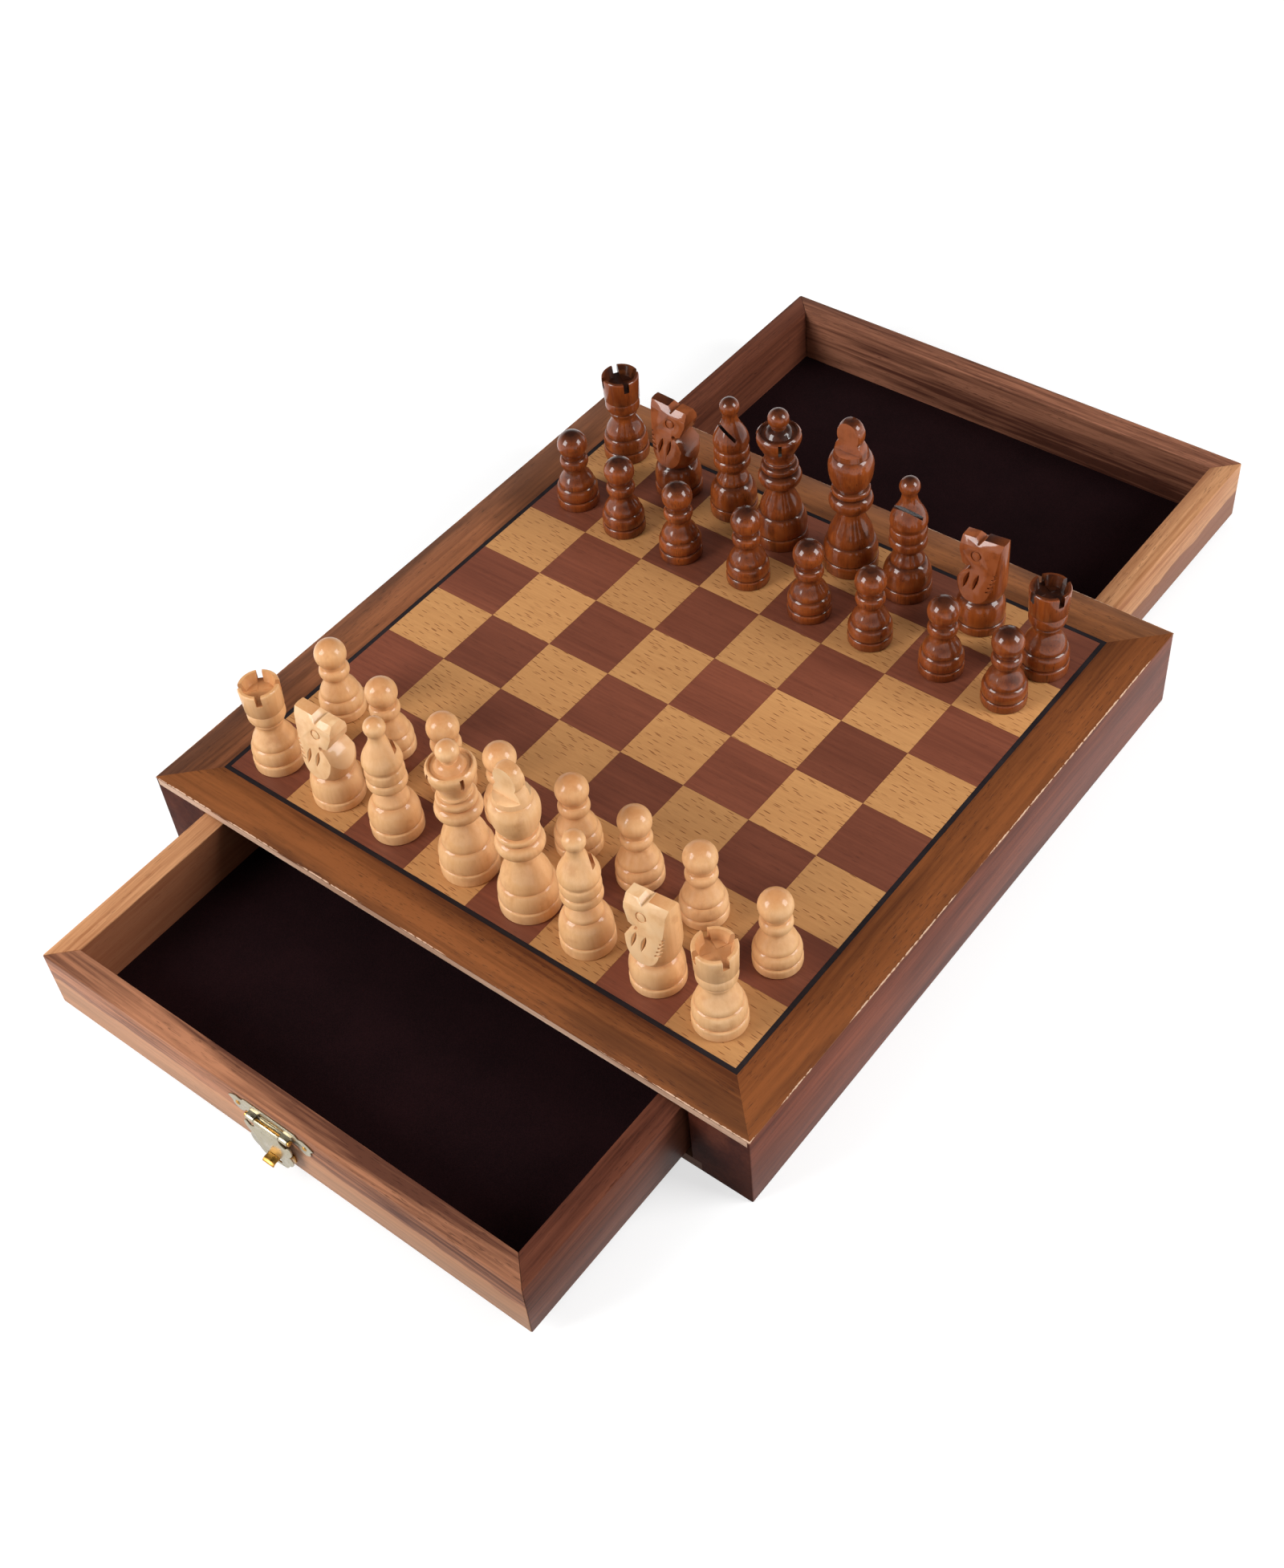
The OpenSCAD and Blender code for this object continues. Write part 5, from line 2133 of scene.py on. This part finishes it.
@dataclass(frozen=True)
class Lamp:
    """One soft box that points at the object."""

    name: str
    place: tuple[float, float, float]
    size: tuple[float, float]
    power: float
    mirrored: bool = True

    def build(self) -> None:
        """Hangs the lamp."""
        data = bpy.data.lights.new(self.name, "AREA")
        data.shape, data.energy = "RECTANGLE", self.power
        data.size, data.size_y = self.size
        lamp = bpy.data.objects.new(self.name, data)
        lamp.location = self.place
        lamp.rotation_euler = Vector(self.place).to_track_quat("Z", "Y").to_euler()
        lamp.visible_glossy = self.mirrored
        bpy.context.scene.collection.objects.link(lamp)


@dataclass
class Studio:
    """Camera, soft lamps, floor and backdrop."""

    azimuth: float = 42.649
    elevation: float = 48.224
    roll: float = -6.335
    target: tuple[float, float, float] = (0.01803, -0.04077, 0.040)
    distance: float = 0.8138
    long_side: int = 1954
    focal: float = 2545.6
    wall_top: tuple[float, float] = (0.1, 0.5)
    wall_glow: float = 0.4
    ceiling_glow: float = 0.06
    floor_side: float = 12.0
    floor_drop: float = 0.2 * MM
    floor_glow: float = 0.66
    floor_albedo: float = 0.45
    fade: tuple[float, float] = (0.35, 0.9)
    lamps: tuple[Lamp, ...] = (
        Lamp("left_box", (-0.64, -1.09, 0.76), (0.7, 0.8), 20),
        Lamp("right_box", (1.16, 0.47, 0.76), (0.7, 0.8), 18),
        Lamp("fill", (0, 0, 1.8), (2.2, 2.2), 9, mirrored=False),
    )

    def camera(self) -> None:
        """The camera, at its viewing angle."""
        az, el, roll = (math.radians(a) for a in (self.azimuth, self.elevation, self.roll))
        back = Vector((math.sin(az) * math.cos(el), -math.cos(az) * math.cos(el), math.sin(el)))
        right = Vector((math.cos(az), math.sin(az), 0))
        up = back.cross(right)
        right, up = (
            math.cos(roll) * right + math.sin(roll) * up,
            -math.sin(roll) * right + math.cos(roll) * up,
        )
        data = bpy.data.cameras.new("camera")
        data.sensor_width = 36
        data.lens = self.focal / self.long_side * data.sensor_width
        data.clip_start = 0.01
        camera = bpy.data.objects.new("camera", data)
        bpy.context.scene.collection.objects.link(camera)
        turn = Matrix((right, up, back)).transposed().to_4x4()
        camera.matrix_world = Matrix.Translation(Vector(self.target) + back * self.distance) @ turn
        bpy.context.scene.camera = camera

    @staticmethod
    def rays(wire: Wiring) -> tuple[Socket, Socket]:
        """Tells which rays come from the camera and which were mirrored or refracted.

        Args:
            wire: the wiring of the floor or of the world.

        Returns:
            A 1 for a camera ray, and a 1 for a mirrored or refracted one.
        """
        path = wire.add("ShaderNodeLightPath").outputs
        mirrored = wire.maths("MAXIMUM", path["Is Glossy Ray"], path["Is Transmission Ray"])
        return path["Is Camera Ray"], mirrored

    def floor_white(self) -> bpy.types.Material:
        """A white that the camera sees as such, and that still takes a shadow near the object.

        Returns:
            The floor's material.
        """
        made = bpy.data.materials.new("floor_white")
        made.use_nodes = True
        wire = Wiring(made.node_tree)
        shader = made.node_tree.nodes["Principled BSDF"]
        shader.inputs["Base Color"].default_value = (*[self.floor_albedo] * 3, 1)
        shader.inputs["Roughness"].default_value = 0.9
        shader.inputs["Specular IOR Level"].default_value = 0.0
        shader.inputs["Emission Color"].default_value = (1, 1, 1, 1)
        away = wire.add("ShaderNodeVectorMath", operation="LENGTH")
        wire.feed(away.inputs[0], wire.add("ShaderNodeTexCoord").outputs["Object"])
        glow = wire.spread(away.outputs["Value"], *self.fade, self.floor_glow, 1.0)
        seen = wire.maths("MAXIMUM", *self.rays(wire))
        wire.feed(shader.inputs["Emission Strength"], wire.times(seen, glow))
        return made

    def surroundings(self) -> None:
        """The floor, and a world that is white to the camera.

        To the object the world is a pale wall under a dark ceiling.
        """
        Bench.clear()
        bpy.ops.mesh.primitive_plane_add(size=self.floor_side, location=(0, 0, -self.floor_drop))
        floor = bpy.context.object
        floor.name = floor.data.name = "floor"
        floor.data.materials.append(self.floor_white())
        world = bpy.data.worlds.new("room")
        world.use_nodes = True
        bpy.context.scene.world = world
        wire = Wiring(world.node_tree)
        sky = world.node_tree.nodes["Background"]
        sky.inputs["Color"].default_value = (1, 1, 1, 1)
        from_camera, mirrored = self.rays(wire)
        rise = wire.parts(wire.add("ShaderNodeTexCoord").outputs["Generated"])[2]
        room = wire.spread(rise, *self.wall_top, self.wall_glow, self.ceiling_glow)
        backdrop = wire.times(mirrored, wire.spread(rise, *self.wall_top, 1.0, self.ceiling_glow))
        seen = wire.maths("MAXIMUM", from_camera, backdrop)
        wire.feed(sky.inputs["Strength"], wire.maths("MAXIMUM", seen, room))

    def build(self) -> None:
        """Sets the studio up."""
        scene = bpy.context.scene
        scene.view_settings.view_transform = "Standard"
        self.camera()
        self.surroundings()
        for lamp in self.lamps:
            lamp.build()


def main() -> None:
    """Builds the studio and every piece of the chess box."""
    logging.basicConfig(level=logging.INFO, format="%(name)s: %(message)s")
    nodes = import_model()["nodes"]
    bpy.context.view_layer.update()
    Studio().build()
    Box().build(nodes)
    for end in End:
        Drawer(end).build(nodes)
        Clasp(end).build()
    ChessSet().build()
    Bench.clear()


if __name__ == "__main__":
    main()
